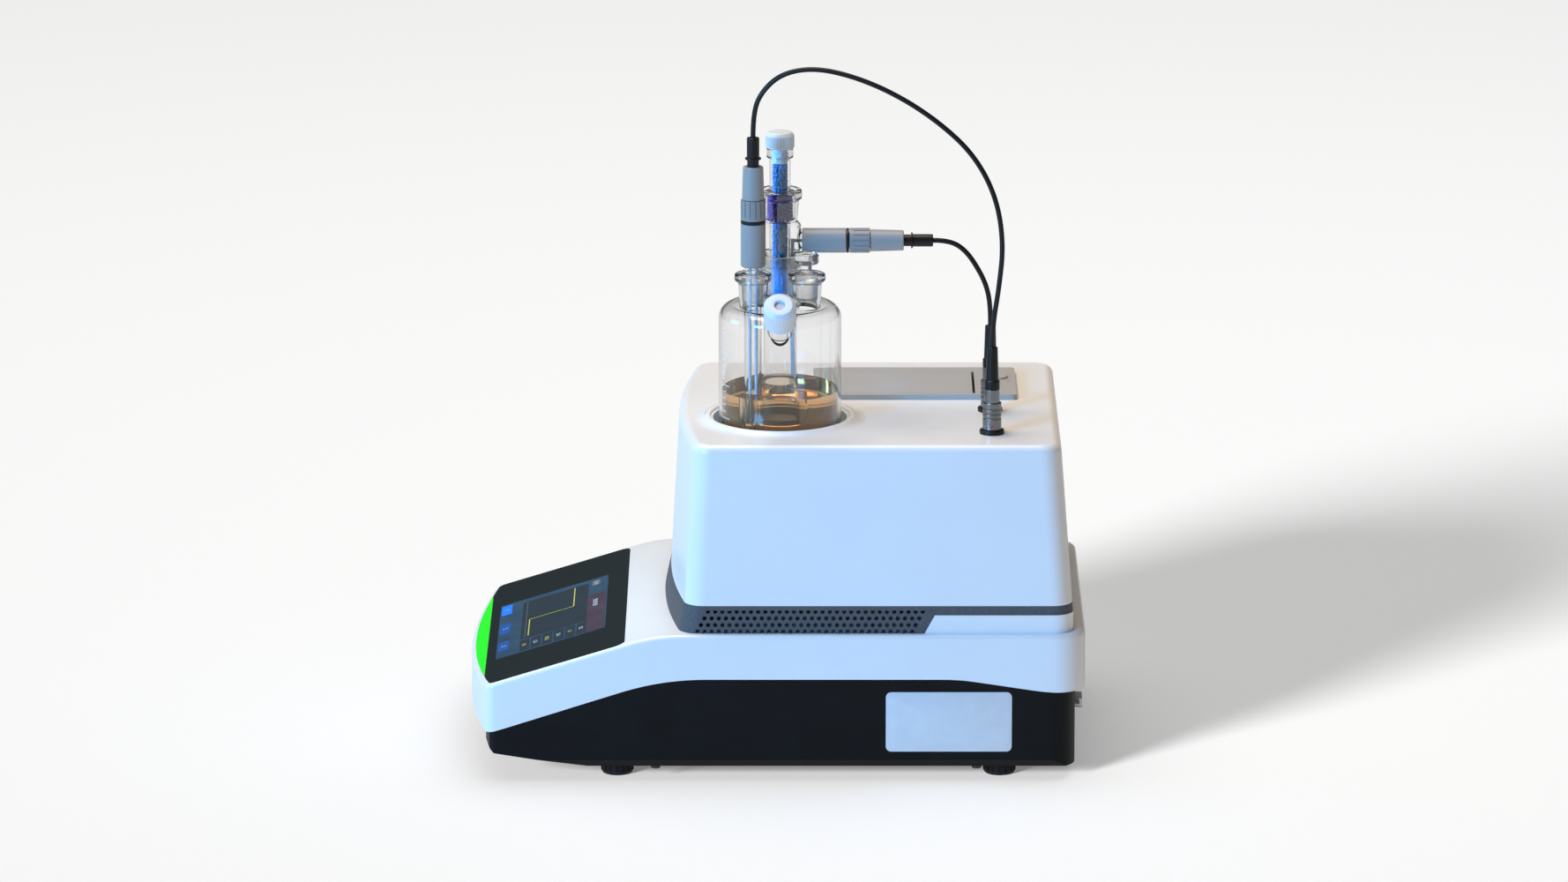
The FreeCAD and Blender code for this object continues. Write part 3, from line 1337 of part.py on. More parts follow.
def plug_set(prefix, y):
    """Socket, plug core, sliding sleeve and boot on one upright axis. Returns the boot's top."""
    def piece(name, corners):
        return turned(prefix + "_" + name, corners, s.socket_x, y)

    base = s.housing_top
    flange_top = base + s.flange_thick
    bore = s.plug_nose + gap
    node(piece("socket", [
        (0, base - s.barrel_depth), (s.barrel_radius, base - s.barrel_depth),
            (s.barrel_radius, base - s.housing_wall - 3),
        (s.barrel_radius + 2.5, base - s.housing_wall - 3), (s.barrel_radius + 2.5, base - s.housing_wall),
        (s.barrel_radius, base - s.housing_wall), (s.barrel_radius, base),
        (s.flange_radius, base), (s.flange_radius, flange_top, 0.8), (bore, flange_top),
        (bore, base - s.plug_nose_depth), (0, base - s.plug_nose_depth)]), prefix + "_socket")
    core_low = flange_top + gap
    core_top = core_low + s.plug_length
    node(piece("plug_core", [
        (0, base - s.plug_nose_depth + gap), (s.plug_nose, base - s.plug_nose_depth + gap),
        (s.plug_nose, core_low), (s.plug_radius, core_low), (s.plug_radius, core_top, 0.6), (0, core_top)]),
         prefix + "_plug_core")
    sleeve_low = core_low + gap
    sleeve_bore = s.plug_radius + s.running_fit
    groove_at = sleeve_low + 8
    corners = [(sleeve_bore, sleeve_low), (s.sleeve_radius, sleeve_low, 0.4)]
    for i in range(3):
        low = groove_at + i * 3.4
        corners += [(s.sleeve_radius, low), (s.sleeve_radius - s.sleeve_groove, low + 0.5),
                    (s.sleeve_radius - s.sleeve_groove, low + 1.2), (s.sleeve_radius, low + 1.7)]
    corners += [(s.sleeve_radius, sleeve_low + s.sleeve_length, 0.6),
        (sleeve_bore, sleeve_low + s.sleeve_length)]
    node(piece("plug_sleeve", corners), prefix + "_plug_sleeve")
    boot_top = core_top + s.boot_length
    node(piece("plug_boot", [
        (0, core_top), (s.plug_radius, core_top, 0.4), (s.plug_radius, core_top + s.boot_collar, 0.8),
        (s.boot_base, core_top + s.boot_collar + 0.8), (s.boot_tip, boot_top, 1), (0, boot_top)]),
         prefix + "_plug_boot")
    return boot_top


boot_top = plug_set("measuring", s.near_socket_y)
plug_set("generator", s.far_socket_y)


# Cables: straight runs joined by tangent arcs, chosen by hand to follow the real leads.

def cable(label, points):
    """A round lead along a route of points; each bend is as wide as its two runs allow."""
    points = [V(*[size_of(value).value for value in point]) for point in points]
    edges = []
    start = points[0]
    radii = []
    for before, here, after in zip(points, points[1:], points[2:]):
        back = (before - here).normalize()
        ahead = (after - here).normalize()
        half = back.getAngle(ahead) / 2
        reach = 0.45 * min((before - here).Length, (after - here).Length)
        radius = reach * math.tan(half)
        middle = here + (back + ahead).normalize() * (radius / math.sin(half) - radius)
        first = here + back * reach
        last = here + ahead * reach
        edges.append(Part.LineSegment(start, first).toShape())
        edges.append(Part.Arc(first, middle, last).toShape())
        radii.append(round(radius, 1))
        start = last
    edges.append(Part.LineSegment(start, points[-1]).toShape())
    wire = Part.Wire(edges)
    ring = Part.Wire([Part.Circle(points[0], points[1] - points[0], s.cable_radius.value).toShape()])
    tube = wire.makePipeShell([ring], True, False)
    section = math.pi * s.cable_radius.value ** 2
    print(label, "length", round(wire.Length, 1), "radii", radii,
          "volume ratio", round(tube.Volume / (section * wire.Length), 4))
    item = doc.addObject("Part::Feature", label)
    item.Shape = tube
    return node(item, label)


relief_top = head_low + stack_length
cable("measuring_cable", [
    (measuring_x, measuring_y, relief_top),
    (measuring_x, measuring_y, relief_top + 15.5),
    (-12.5, -61.5, 508), (3, -62.5, 524), (27, -65.5, 529.5), (56, -70, 524.5), (88, -75.5, 512),
    (119, -81, 493), (146, -86, 469), (163, -89.5, 438), (169, -91.5, 402), (165.5, -92, 367),
    (s.socket_x, s.near_socket_y, boot_top + 16),
    (s.socket_x, s.near_socket_y, boot_top)])
arm_tip = gen_x + s.arm_reach + stack_length
cable("generator_cable", [
    (arm_tip, gen_y, arm_z),
    (arm_tip + 12, gen_y, arm_z),
    (142, -25.7, arm_z - 7.5), (152.5, -25.1, 365.5), (158.8, -24.4, 351),
    (s.socket_x, s.far_socket_y, boot_top + 12),
    (s.socket_x, s.far_socket_y, boot_top)])


# Electrics inside the base and on its back.

board_z = floor_top + s.board_lift
board_x = nose + s.board_front + s.board_long / 2
board = box((board_x - s.board_long / 2, board_x + s.board_long / 2), (-s.board_wide / 2, s.board_wide / 2),
            (board_z, board_z + s.board_thick))
stand_spots = [(board_x + i * (s.board_long / 2 - 6),
    j * (s.board_wide / 2 - 6)) for i in (-1, 1) for j in (-1, 1)]
stands = [cylinder(3, (floor_top, board_z), x, y) for x, y in stand_spots]
board_top = board_z + s.board_thick
chips = [box((board_x + x, board_x + x + long), (y, y + wide), (board_top, board_top + high))
         for x, y, long, wide, high in ((-40, -30, 28, 28, 3), (20, 10, 40, 16, 9), (-70, 30, 20, 24, 12),
                                        (30, -60, 30, 34, 14))]
node(fuse(board, *stands, *chips), "main_board")
supply_x = tray_back - s.tray_wall - s.inlet_depth - 14
supply = box((supply_x - s.supply_wide, supply_x),
    (s.inlet_y - s.supply_long / 2, s.inlet_y + s.supply_long / 2),
             (floor_top, floor_top + s.supply_high))
node(supply, "power_supply")

inlet_y = s.inlet_y
face_x = tray_back + s.inlet_flange
recess_y = inlet_y - s.inlet_wide / 2 + 3 + s.recess_wide / 2
rocker_y = inlet_y + s.inlet_wide / 2 - 3 - s.rocker_wide / 2
rocker_x = face_x - s.rocker_radius + s.rocker_proud
inlet_body = box((tray_back - s.inlet_depth, tray_back),
    (inlet_y - s.inlet_wide / 2, inlet_y + s.inlet_wide / 2),
                 (s.inlet_z - s.inlet_high / 2, s.inlet_z + s.inlet_high / 2))
flange_plate = prism("inlet_flange", "YZ_Plane", [
    (inlet_y - s.inlet_wide / 2 - 3, s.inlet_z - s.inlet_high / 2 - 2, 2),
    (inlet_y + s.inlet_wide / 2 + 3, s.inlet_z - s.inlet_high / 2 - 2, 2),
    (inlet_y + s.inlet_wide / 2 + 3, s.inlet_z + s.inlet_high / 2 + 2, 2),
    (inlet_y - s.inlet_wide / 2 - 3, s.inlet_z + s.inlet_high / 2 + 2, 2)],
        s.inlet_flange, raised=tray_back)
recess = prism("recess", "YZ_Plane", [
    (recess_y - s.recess_wide / 2, s.inlet_z - s.recess_high / 2, 1),
    (recess_y + s.recess_wide / 2, s.inlet_z - s.recess_high / 2, 1),
    (recess_y + s.recess_wide / 2, s.inlet_z + s.recess_high / 2 - 4),
    (recess_y + s.recess_wide / 2 - 4, s.inlet_z + s.recess_high / 2),
    (recess_y - s.recess_wide / 2 + 4, s.inlet_z + s.recess_high / 2),
    (recess_y - s.recess_wide / 2, s.inlet_z + s.recess_high / 2 - 4)],
    s.recess_depth + 1, raised=face_x - s.recess_depth)
rocker_slot = box((rocker_x - s.rocker_radius - s.loose_gap, face_x + 1),
                  (rocker_y - s.rocker_wide / 2 - s.loose_gap, rocker_y + s.rocker_wide / 2 + s.loose_gap),
                  (s.inlet_z - s.rocker_radius - s.loose_gap, s.inlet_z + s.rocker_radius + s.loose_gap))
blades = [box((face_x - s.recess_depth - 1, face_x - 3), (recess_y + y - 1, recess_y + y + 1),
              (s.inlet_z + z - 2, s.inlet_z + z + 2)) for y, z in ((-7, -2), (7, -2), (0, 2))]
trunnion = lying_cylinder(1.5, (rocker_y - s.rocker_wide / 2 - 1, rocker_y + s.rocker_wide / 2 + 1), "Y",
                          (rocker_x, s.inlet_z))
node(fuse(cut(fuse(inlet_body, flange_plate), recess, rocker_slot), *blades, trunnion), "mains_inlet")
tilt = s.rocker_tilt
reach = s.rocker_radius - 0.1
rocker_plate = prism("rocker_plate", "XZ_Plane", [
    (rocker_x - 4, s.inlet_z - 5, 1), (rocker_x + reach * sine(tilt * 3.5),
        s.inlet_z - reach * cosine(tilt * 3.5), 0.6),
    (rocker_x + 5.2, s.inlet_z),
    (rocker_x + reach * sine(tilt * 1.5), s.inlet_z + reach * cosine(tilt * 1.5), 0.6),
    (rocker_x - 4, s.inlet_z + 5, 1)], s.rocker_wide, raised=-rocker_y, centred=True)
rocker_bore = lying_cylinder(1.5 + s.running_fit, (rocker_y - s.rocker_wide, rocker_y + s.rocker_wide), "Y",
                             (rocker_x, s.inlet_z))
node(cut(rocker_plate, rocker_bore), "power_rocker")

serial_y = s.port_socket_y
serial_plate = box((tray_back, tray_back + 1), (serial_y - 15.4, serial_y + 15.4),
    (s.inlet_z - 6.3, s.inlet_z + 6.3))
serial_shell = prism("serial_shell", "YZ_Plane", [
    (serial_y - 7.6, s.inlet_z - 4.2, 1.5), (serial_y + 7.6, s.inlet_z - 4.2, 1.5),
    (serial_y + 8.4, s.inlet_z + 4.2, 1.5), (serial_y - 8.4, s.inlet_z + 4.2, 1.5)],
        6, raised=tray_back + 1)
serial_body = box((tray_back - 11, tray_back), (serial_y - s.serial_wide / 2, serial_y + s.serial_wide / 2),
                  (s.inlet_z - s.serial_high / 2, s.inlet_z + s.serial_high / 2))
posts = [lying_cylinder(2.2, (tray_back + 1, tray_back + 5),
    "X", (serial_y + y, s.inlet_z)) for y in (-12.5, 12.5)]
node(fuse(serial_plate, serial_shell, serial_body, *posts), "serial_port")


# Rebuild, test and write every sub-part.

doc.recompute()
broken = [item.Label for item in doc.Objects if "Invalid" in item.State or "Error" in item.State]
for item in nodes:
    if item.Shape.isNull() or not item.Shape.isValid() or not item.Shape.Solids:
        broken.append(item.Label)
if broken:
    raise RuntimeError("these objects did not build: " + ", ".join(broken))
for item in nodes:
    item.Shape.exportStep(os.path.join("parts", item.Label + ".step"))
print(len(nodes), "nodes written")
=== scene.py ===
"""Looks for the coulometric moisture titrator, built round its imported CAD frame.

Sizes in the classes are in millimetres, as on a drawing, and become metres as meshes are made.
"""
import logging
import math
import random
from dataclasses import dataclass, replace
from enum import Enum
from typing import Callable, Iterable, Optional, Sequence

import bmesh
import bpy
from mathutils import Matrix, Vector

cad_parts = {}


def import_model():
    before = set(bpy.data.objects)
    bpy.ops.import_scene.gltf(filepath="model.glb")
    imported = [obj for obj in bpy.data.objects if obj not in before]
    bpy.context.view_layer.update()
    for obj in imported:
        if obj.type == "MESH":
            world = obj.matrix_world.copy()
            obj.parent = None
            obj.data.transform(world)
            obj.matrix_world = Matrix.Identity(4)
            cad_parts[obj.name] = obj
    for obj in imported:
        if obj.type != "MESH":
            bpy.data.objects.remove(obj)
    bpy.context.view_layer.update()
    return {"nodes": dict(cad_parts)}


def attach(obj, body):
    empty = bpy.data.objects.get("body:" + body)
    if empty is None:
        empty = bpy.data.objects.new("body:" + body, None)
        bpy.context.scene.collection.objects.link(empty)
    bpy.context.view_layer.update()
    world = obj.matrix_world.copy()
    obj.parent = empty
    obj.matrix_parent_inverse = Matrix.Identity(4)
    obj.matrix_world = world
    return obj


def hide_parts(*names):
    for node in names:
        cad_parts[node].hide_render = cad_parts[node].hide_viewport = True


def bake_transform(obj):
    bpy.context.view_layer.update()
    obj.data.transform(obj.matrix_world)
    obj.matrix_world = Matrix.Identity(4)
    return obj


LOG = logging.getLogger("titrator")
MM = 0.001
Point = tuple[float, float, float]
Colour = tuple[float, float, float]
Socket = bpy.types.NodeSocket
WHITE = (1, 1, 1, 1)
BRIGHTEST = 0.97
MIRRORED = 0.1
GROUND_ROUGHNESS = 0.09
WEAR = 0.05
CELL_AXIS = (3.0, -45.0)
TUBE_AXIS = (3.0, -26.0)
PLUG_X, MEASURING_Y, GENERATOR_Y = 161.0, -92.0, -24.0
GENERATOR_TIP = 117.65


class Grain(Enum):
    """How the fine surface of a finish is broken up."""

    SMOOTH = "smooth"
    SPARK = "spark"
    BRUSHED = "brushed"
    SPECKLE = "speckle"


class Facing(Enum):
    """Which way a turned piece's axis points."""

    UP = "up"
    ALONG_Y = "along y"


# Finishes


@dataclass(frozen=True)
class Wiring:
    """The nodes and links of one material or world."""

    nodes: bpy.types.Nodes
    links: bpy.types.NodeLinks

    def add(self, kind: str, values: Optional[dict[str, object]] = None) -> bpy.types.Node:
        """Adds a node and fills its inputs.

        Args:
            kind: Type of the node.
            values: Numbers, or outputs to link, by the name of the input.

        Returns:
            The new node.
        """
        node = self.nodes.new(kind)
        for name, value in (values or {}).items():
            self.fill(node.inputs[name], value)
        return node

    def fill(self, place: Socket, value: object) -> None:
        """Links an output to an input, or sets the input to a number."""
        if isinstance(value, bpy.types.NodeSocket):
            self.links.new(value, place)
        else:
            place.default_value = value

    def ramp(self, source: Socket, ends: tuple[float, float], shades: Sequence[Colour]) -> Socket:
        """Turns a value into a colour between two.

        Args:
            source: The value.
            ends: Where the two colours stand.
            shades: The two colours.

        Returns:
            The output with the colour.
        """
        node = self.add("ShaderNodeValToRGB")
        for element, at, shade_colour in zip(node.color_ramp.elements, ends, shades):
            element.position = at
            element.color = (*shade_colour, 1)
        self.links.new(source, node.inputs[0])
        return node.outputs[0]

    def sum(self, how: str, *values: object) -> Socket:
        """Works out one sum.

        Args:
            how: Name of the sum.
            values: Numbers or outputs, in order.

        Returns:
            The output with the result.
        """
        node = self.add("ShaderNodeMath")
        node.operation = how
        for place, value in zip(node.inputs, values):
            self.fill(place, value)
        return node.outputs[0]


@dataclass(frozen=True)
class Finish:
    """One surface finish, made as a node material.

    Sizes of the mottle and grain are in millimetres between their features.
    """

    name: str
    slot: str
    colour: Colour
    roughness: float = 0.4
    mottle: float = 0.03
    mottle_size: float = 25.0
    grain: Grain = Grain.SPARK
    grain_size: float = 0.5
    grain_depth: float = 0.01
    metallic: float = 0.0
    coat: float = 0.0
    clear: float = 0.0
    ior: float = 1.5
    glow: float = 0.0
    specular: float = 0.5
    tint: Optional[Colour] = None
    tint_strength: float = 0.0
    frost: tuple[tuple[float, float], ...] = ()

    def material(self) -> bpy.types.Material:
        """Builds the node material once and gives it back on later calls.

        Returns:
            The material of this finish.
        """
        label = self.name + "_finish"
        made = bpy.data.materials.get(label)
        if made is not None:
            return made
        made = bpy.data.materials.new(label)
        made.use_nodes = True
        wiring = Wiring(made.node_tree.nodes, made.node_tree.links)
        shader = wiring.nodes["Principled BSDF"]
        plain = {"Metallic": self.metallic, "IOR": self.ior, "Specular IOR Level": self.specular,
                 "Roughness": self.roughness, "Transmission Weight": self.clear, "Base Color": (*self.colour, 1)}
        if self.coat:
            plain |= {"Coat Weight": self.coat, "Coat Roughness": 0.08}
        if self.glow:
            plain |= {"Emission Color": (*self.colour, 1), "Emission Strength": self.glow}
        for name, value in plain.items():
            shader.inputs[name].default_value = value
        place = wiring.add("ShaderNodeTexCoord").outputs["Object"]
        if self.tint is not None:
            volume = wiring.add("ShaderNodeVolumeAbsorption", {"Color": (*self.tint, 1), "Density": self.tint_strength})
            wiring.links.new(volume.outputs[0], wiring.nodes["Material Output"].inputs["Volume"])
        if self.mottle and self.clear < 0.5:
            self._mottle(wiring, place, shader)
        if self.grain is not Grain.SMOOTH:
            self._grain(wiring, place, shader)
        if self.frost:
            self._frost(wiring, place, shader)
        made.diffuse_color = (*self.colour, 1)
        return made

    def _shades(self, low: float, high: float) -> list[Colour]:
        """Gives a darker and a lighter shade of the colour."""
        return [tuple(min(c * share, BRIGHTEST) for c in self.colour) for share in (low, high)]

    def _mottle(self, wiring: Wiring, place: Socket, shader: bpy.types.Node) -> None:
        """Lets the colour drift a little over the surface, and the gloss with it.

        Args:
            wiring: Nodes and links of the material.
            place: Output with the object's coordinates.
            shader: The surface shader.
        """
        cloud = wiring.add("ShaderNodeTexNoise", {"Vector": place, "Scale": 1 / (self.mottle_size * MM),
                                                  "Detail": 4}).outputs[0]
        shades = self._shades(1 - self.mottle, 1 + self.mottle)
        wiring.fill(shader.inputs["Base Color"], wiring.ramp(cloud, (0.3, 0.7), shades))
        wear = wiring.add("ShaderNodeMapRange", {"Value": cloud, "To Min": max(self.roughness - WEAR, 0.02),
                                                 "To Max": self.roughness + WEAR})
        wiring.fill(shader.inputs["Roughness"], wear.outputs[0])

    def _grain(self, wiring: Wiring, place: Socket, shader: bpy.types.Node) -> None:
        """Adds the fine relief of the surface, and its specks where it has them.

        Args:
            wiring: Nodes and links of the material.
            place: Output with the object's coordinates.
            shader: The surface shader.
        """
        stretch = wiring.add("ShaderNodeMapping", {"Vector": place})
        if self.grain is Grain.BRUSHED:
            stretch.inputs["Scale"].default_value = (0.15, 0.15, 3)
        fine = wiring.add("ShaderNodeTexNoise", {"Vector": stretch.outputs[0], "Scale": 1 / (self.grain_size * MM),
                                                 "Detail": 2}).outputs[0]
        bump = wiring.add("ShaderNodeBump", {"Distance": self.grain_depth * MM, "Strength": 0.6, "Height": fine})
        wiring.fill(shader.inputs["Normal"], bump.outputs[0])
        if self.grain is Grain.SPECKLE:
            wiring.fill(shader.inputs["Base Color"], wiring.ramp(fine, (0.42, 0.6), self._shades(0.55, 1.5)))

    def _frost(self, wiring: Wiring, place: Socket, shader: bpy.types.Node) -> None:
        """Roughens the glass between the heights of its ground joints.

        Args:
            wiring: Nodes and links of the material.
            place: Output with the object's coordinates.
            shader: The surface shader.
        """
        height = wiring.add("ShaderNodeSeparateXYZ", {"Vector": place}).outputs["Z"]
        total = None
        for low, high in self.frost:
            zone = wiring.sum("COMPARE", height, (low + high) / 2 * MM, (high - low) / 2 * MM)
            total = zone if total is None else wiring.sum("MAXIMUM", total, zone)
        rough = wiring.add("ShaderNodeMapRange", {"Value": total, "To Min": self.roughness,
                                                  "To Max": GROUND_ROUGHNESS})
        wiring.fill(shader.inputs["Roughness"], rough.outputs[0])
        fine = wiring.add("ShaderNodeTexNoise", {"Vector": place, "Scale": 1 / (0.7 * MM)})
        bump = wiring.add("ShaderNodeBump", {"Distance": 0.25 * MM, "Strength": total, "Height": fine.outputs[0]})
        wiring.fill(shader.inputs["Normal"], bump.outputs[0])

    def dress(self, piece: bpy.types.Object) -> None:
        """Gives a piece this finish, in place of whatever it had."""
        piece.data.materials.clear()
        piece.data.materials.append(self.material())


COVER_WHITE = Finish("cover_white", "cover_white", (0.88, 0.88, 0.875), 0.32, 0.012, 60, Grain.SPARK,
                     0.8, 0.004, coat=0.1)
BASE_BLACK = Finish("base_black", "base_black", (0.0065, 0.007, 0.0075), 0.45, 0.15, 30, Grain.SPARK,
                    0.6, 0.03, specular=0.12)
BAND_GREY = Finish("band_grey", "band_grey", (0.095, 0.095, 0.1), 0.6, 0.16, 1.6, Grain.SPARK, 0.7, 0.12,
                   specular=0.3)
FOOT_RUBBER = Finish("foot_rubber", "foot_rubber", (0.012, 0.012, 0.013), 0.6, 0.2, 8, Grain.SPARK, 0.5,
                     0.03, specular=0.25)
DISPLAY_BLACK = Finish("display_black", "display_black", (0.017, 0.023, 0.024), 0.3, 0.06, 60,
                       Grain.SMOOTH, specular=0.01)
STATUS_GREEN = Finish("status_green", "status_green", (0.012, 0.72, 0.018), 0.35, 0.05, 30, Grain.SPARK,
                      0.8, 0.01, glow=0.4, specular=0.1)
CLEAR_GLASS = Finish("clear_glass", "clear_glass", (1.0, 1.0, 1.0), 0.0, grain=Grain.SMOOTH, clear=1.0,
                     ior=1.47, tint=(0.30, 0.335, 0.37), tint_strength=30.0)
JOINT_GLASS = replace(CLEAR_GLASS, name="joint_glass", frost=((350.0, 371.4),))
GENERATOR_GLASS = replace(CLEAR_GLASS, name="generator_glass_joints", frost=((350.0, 378.4),))
FROSTED_GLASS = Finish("frosted_glass", "frosted_glass", (0.5, 0.51, 0.5), 0.4, grain=Grain.SPARK,
                       grain_size=0.4, grain_depth=0.1, clear=0.8, ior=1.47)
AMBER = Finish("electrolyte_amber", "electrolyte_amber", (1.0, 0.97, 0.9), 0.0, grain=Grain.SMOOTH,
               clear=1.0, ior=1.36, tint=(0.9, 0.62, 0.18), tint_strength=22.0)
ELECTRODE_GREY = Finish("electrode_grey", "electrode_grey", (0.34, 0.34, 0.335), 0.4, 0.02, 20,
                        Grain.SPARK, 0.5, 0.01, specular=0.35)
COLLAR_GREY = replace(ELECTRODE_GREY, name="collar_grey", colour=(0.29, 0.29, 0.285))
# White plastic fittings with painted blue light: the blue tint in this colour stands in for the blue key lamp on the
# caps' sides, not their own white.
FITTING_WHITE_PAINTED_BLUE_LIGHT = Finish("fitting_white", "fitting_white", (0.7, 0.77, 0.84), 0.38, 0.02, 12, Grain.SPARK,
                       0.5, 0.01)
SEAL_BLACK = Finish("seal_black", "seal_black", (0.008, 0.008, 0.009), 0.4, 0.15, 6, Grain.SPARK, 0.4,
                    0.02, specular=0.3)
SLEEVED_WIRE = Finish("sleeved_wire", "platinum", (0.3, 0.33, 0.36), 0.3, 0.05, 5, Grain.SPARK, 0.4, 0.01)
PLUG_NICKEL = Finish("plug_nickel", "plug_nickel", (0.2, 0.21, 0.225), 0.28, 0.06, 3, Grain.BRUSHED, 0.4,
                     0.02, metallic=1.0)
CABLE_BLACK = Finish("cable_black", "cable_black", (0.006, 0.006, 0.007), 0.36, 0.15, 8, Grain.SPARK,
                     0.6, 0.03, specular=0.3)
BOARD_GREEN = Finish("board_green", "board_green", (0.02, 0.12, 0.05), 0.35, 0.2, 5, Grain.SPARK, 0.8, 0.05)
STEEL = Finish("steel", "steel", (0.5, 0.5, 0.51), 0.3, 0.08, 5, Grain.BRUSHED, 0.4, 0.02, metallic=1.0)
DARK_STEEL = replace(STEEL, name="dark_steel", colour=(0.06, 0.06, 0.065))
MAGNET_NICKEL = Finish("magnet_nickel", "magnet_nickel", (0.6, 0.6, 0.58), 0.15, 0.05, 5, Grain.SPARK,
                       0.6, 0.01, metallic=1.0)
PANEL_GREY = Finish("panel_grey", "panel_grey", (0.45, 0.43, 0.4), 0.38, 0.02, 20, Grain.SPARK, 0.5,
                    0.01, coat=0.1)
PAPER_WHITE = Finish("paper_white", "paper_white", (0.84, 0.84, 0.82), 0.7, 0.03, 3, Grain.SPARK, 0.3, 0.02)
BEAD_BLUE = Finish("bead_blue", "bead_blue", (0.012, 0.30, 0.70), 0.4, 0.3, 3, Grain.SPARK, 0.6, 0.05,
                   specular=0.1)
BEAD_INDIGO = Finish("bead_indigo", "bead_blue", (0.012, 0.012, 0.3), 0.4, 0.3, 3, Grain.SPARK, 0.6,
                     0.05, specular=0.1)
SEPTUM_GREY = Finish("septum_grey", "seal_black", (0.6, 0.6, 0.62), 0.6, 0.1, 2, Grain.SPECKLE, 0.45, 0.06)
MARK_WHITE = Finish("mark_white", "fitting_white", (0.82, 0.85, 0.88), 0.5, 0.05, 2, Grain.SPARK, 0.3, 0.01)
MARK_DARK = Finish("mark_dark", "seal_black", (0.05, 0.05, 0.055), 0.5, 0.05, 2, Grain.SPARK, 0.3, 0.01)
DOT_RED = Finish("dot_red", "status_green", (0.6, 0.02, 0.015), 0.3, 0.08, 1, Grain.SPARK, 0.3, 0.01, coat=0.4)
PLATE_SILVER = Finish("plate_silver", "panel_grey", (0.72, 0.73, 0.74), 0.42, 0.03, 10, Grain.SPARK, 0.5, 0.01)


def lit(name: str, colour: Colour, glow: float, mottle: float = 0.05, size: float = 20) -> Finish:
    """Gives the finish of one colour of the lit screen.

    Args:
        name: Name of the finish.
        colour: Its colour.
        glow: How strongly it shines.
        mottle: How far the colour drifts.
        size: Millimetres between the drifts.

    Returns:
        The finish.
    """
    return Finish(name, "display_black", colour, 0.3, mottle, size, Grain.SMOOTH, glow=glow, specular=0.01)


SCREEN_DARK = lit("screen_dark", (0.030, 0.062, 0.10), 0.35, 0.25, 30)
SCREEN_BLUE = lit("screen_blue", (0.02, 0.16, 0.75), 0.5, 0.1, 12)
SCREEN_NAVY = lit("screen_navy", (0.02, 0.08, 0.28), 0.4, 0.2, 12)
SCREEN_PLUM = lit("screen_plum", (0.058, 0.042, 0.06), 0.35, 0.2, 20)
SCREEN_PLOT = lit("screen_plot", (0.026, 0.038, 0.048), 0.25, 0.1, 20)
SCREEN_LINE = lit("screen_line", (0.10, 0.12, 0.13), 0.3)
SCREEN_YELLOW = lit("screen_yellow", (0.42, 0.42, 0.1), 0.4)
SCREEN_TEXT = lit("screen_text", (0.4, 0.44, 0.46), 0.5)


NODE_FINISHES: dict[str, Finish] = {
    "base_tray": BASE_BLACK, "lower_cover": COVER_WHITE, "vent_band": BAND_GREY, "upper_housing": COVER_WHITE,
    "cell_well": COVER_WHITE, "feet": FOOT_RUBBER, "display_glass": DISPLAY_BLACK, "display_module": STEEL,
    "status_light": STATUS_GREEN, "main_board": BOARD_GREEN, "power_supply": STEEL, "mains_inlet": SEAL_BLACK,
    "serial_port": STEEL, "stirrer_motor": STEEL, "stirrer_bracket": STEEL, "drive_magnet_carrier": STEEL,
    "drive_magnets": MAGNET_NICKEL, "stir_bar": FITTING_WHITE_PAINTED_BLUE_LIGHT, "printer_bezel": PANEL_GREY, "printer_lid": PANEL_GREY,
    "platen_roller": SEAL_BLACK, "paper_roll": PAPER_WHITE, "paper_core": PANEL_GREY, "print_head": SEAL_BLACK,
    "feed_button": PANEL_GREY, "measuring_socket": SEAL_BLACK, "generator_socket": SEAL_BLACK,
    "measuring_plug_core": PLUG_NICKEL, "generator_plug_core": PLUG_NICKEL, "measuring_plug_sleeve": PLUG_NICKEL,
    "generator_plug_sleeve": PLUG_NICKEL, "measuring_plug_boot": CABLE_BLACK, "generator_plug_boot": CABLE_BLACK,
    "vessel": CLEAR_GLASS, "electrolyte": AMBER, "measuring_head": ELECTRODE_GREY, "measuring_seal": SEAL_BLACK,
    "measuring_collar": COLLAR_GREY, "measuring_cone": ELECTRODE_GREY, "measuring_relief": CABLE_BLACK,
    "measuring_stem": JOINT_GLASS, "platinum_pins": SLEEVED_WIRE, "generator_glass": GENERATOR_GLASS,
    "diaphragm": FROSTED_GLASS, "cathode_lead": SLEEVED_WIRE, "generator_head": ELECTRODE_GREY,
    "generator_seal": SEAL_BLACK, "generator_collar": COLLAR_GREY, "generator_cone": ELECTRODE_GREY,
    "generator_relief": CABLE_BLACK, "drying_tube": CLEAR_GLASS, "drying_cap": FITTING_WHITE_PAINTED_BLUE_LIGHT,
    "stopper": JOINT_GLASS, "injection_cap": FITTING_WHITE_PAINTED_BLUE_LIGHT, "injection_septum": SEPTUM_GREY,
    "power_rocker": SEAL_BLACK, "housing_screws": DARK_STEEL,
}


# Mesh tools


def finish_mesh(name: str, verts: Sequence, faces: Sequence, finish: Finish, body: str,
                crease: float = 32.0) -> bpy.types.Object:
    """Makes a shaded piece from points in millimetres and sets it on its body.

    Args:
        name: Name of the piece.
        verts: Points in millimetres, in the row frame.
        faces: Corner lists.
        finish: Its finish.
        body: The body that it moves with.
        crease: Edges that turn by more degrees than this stay crisp.

    Returns:
        The new piece.
    """
    piece = bpy.data.objects.new(name, clean_mesh(name, verts, faces))
    bpy.context.scene.collection.objects.link(piece)
    shade(piece, crease)
    finish.dress(piece)
    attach(piece, body)
    LOG.info("%s rides on %s", name, body)
    return piece


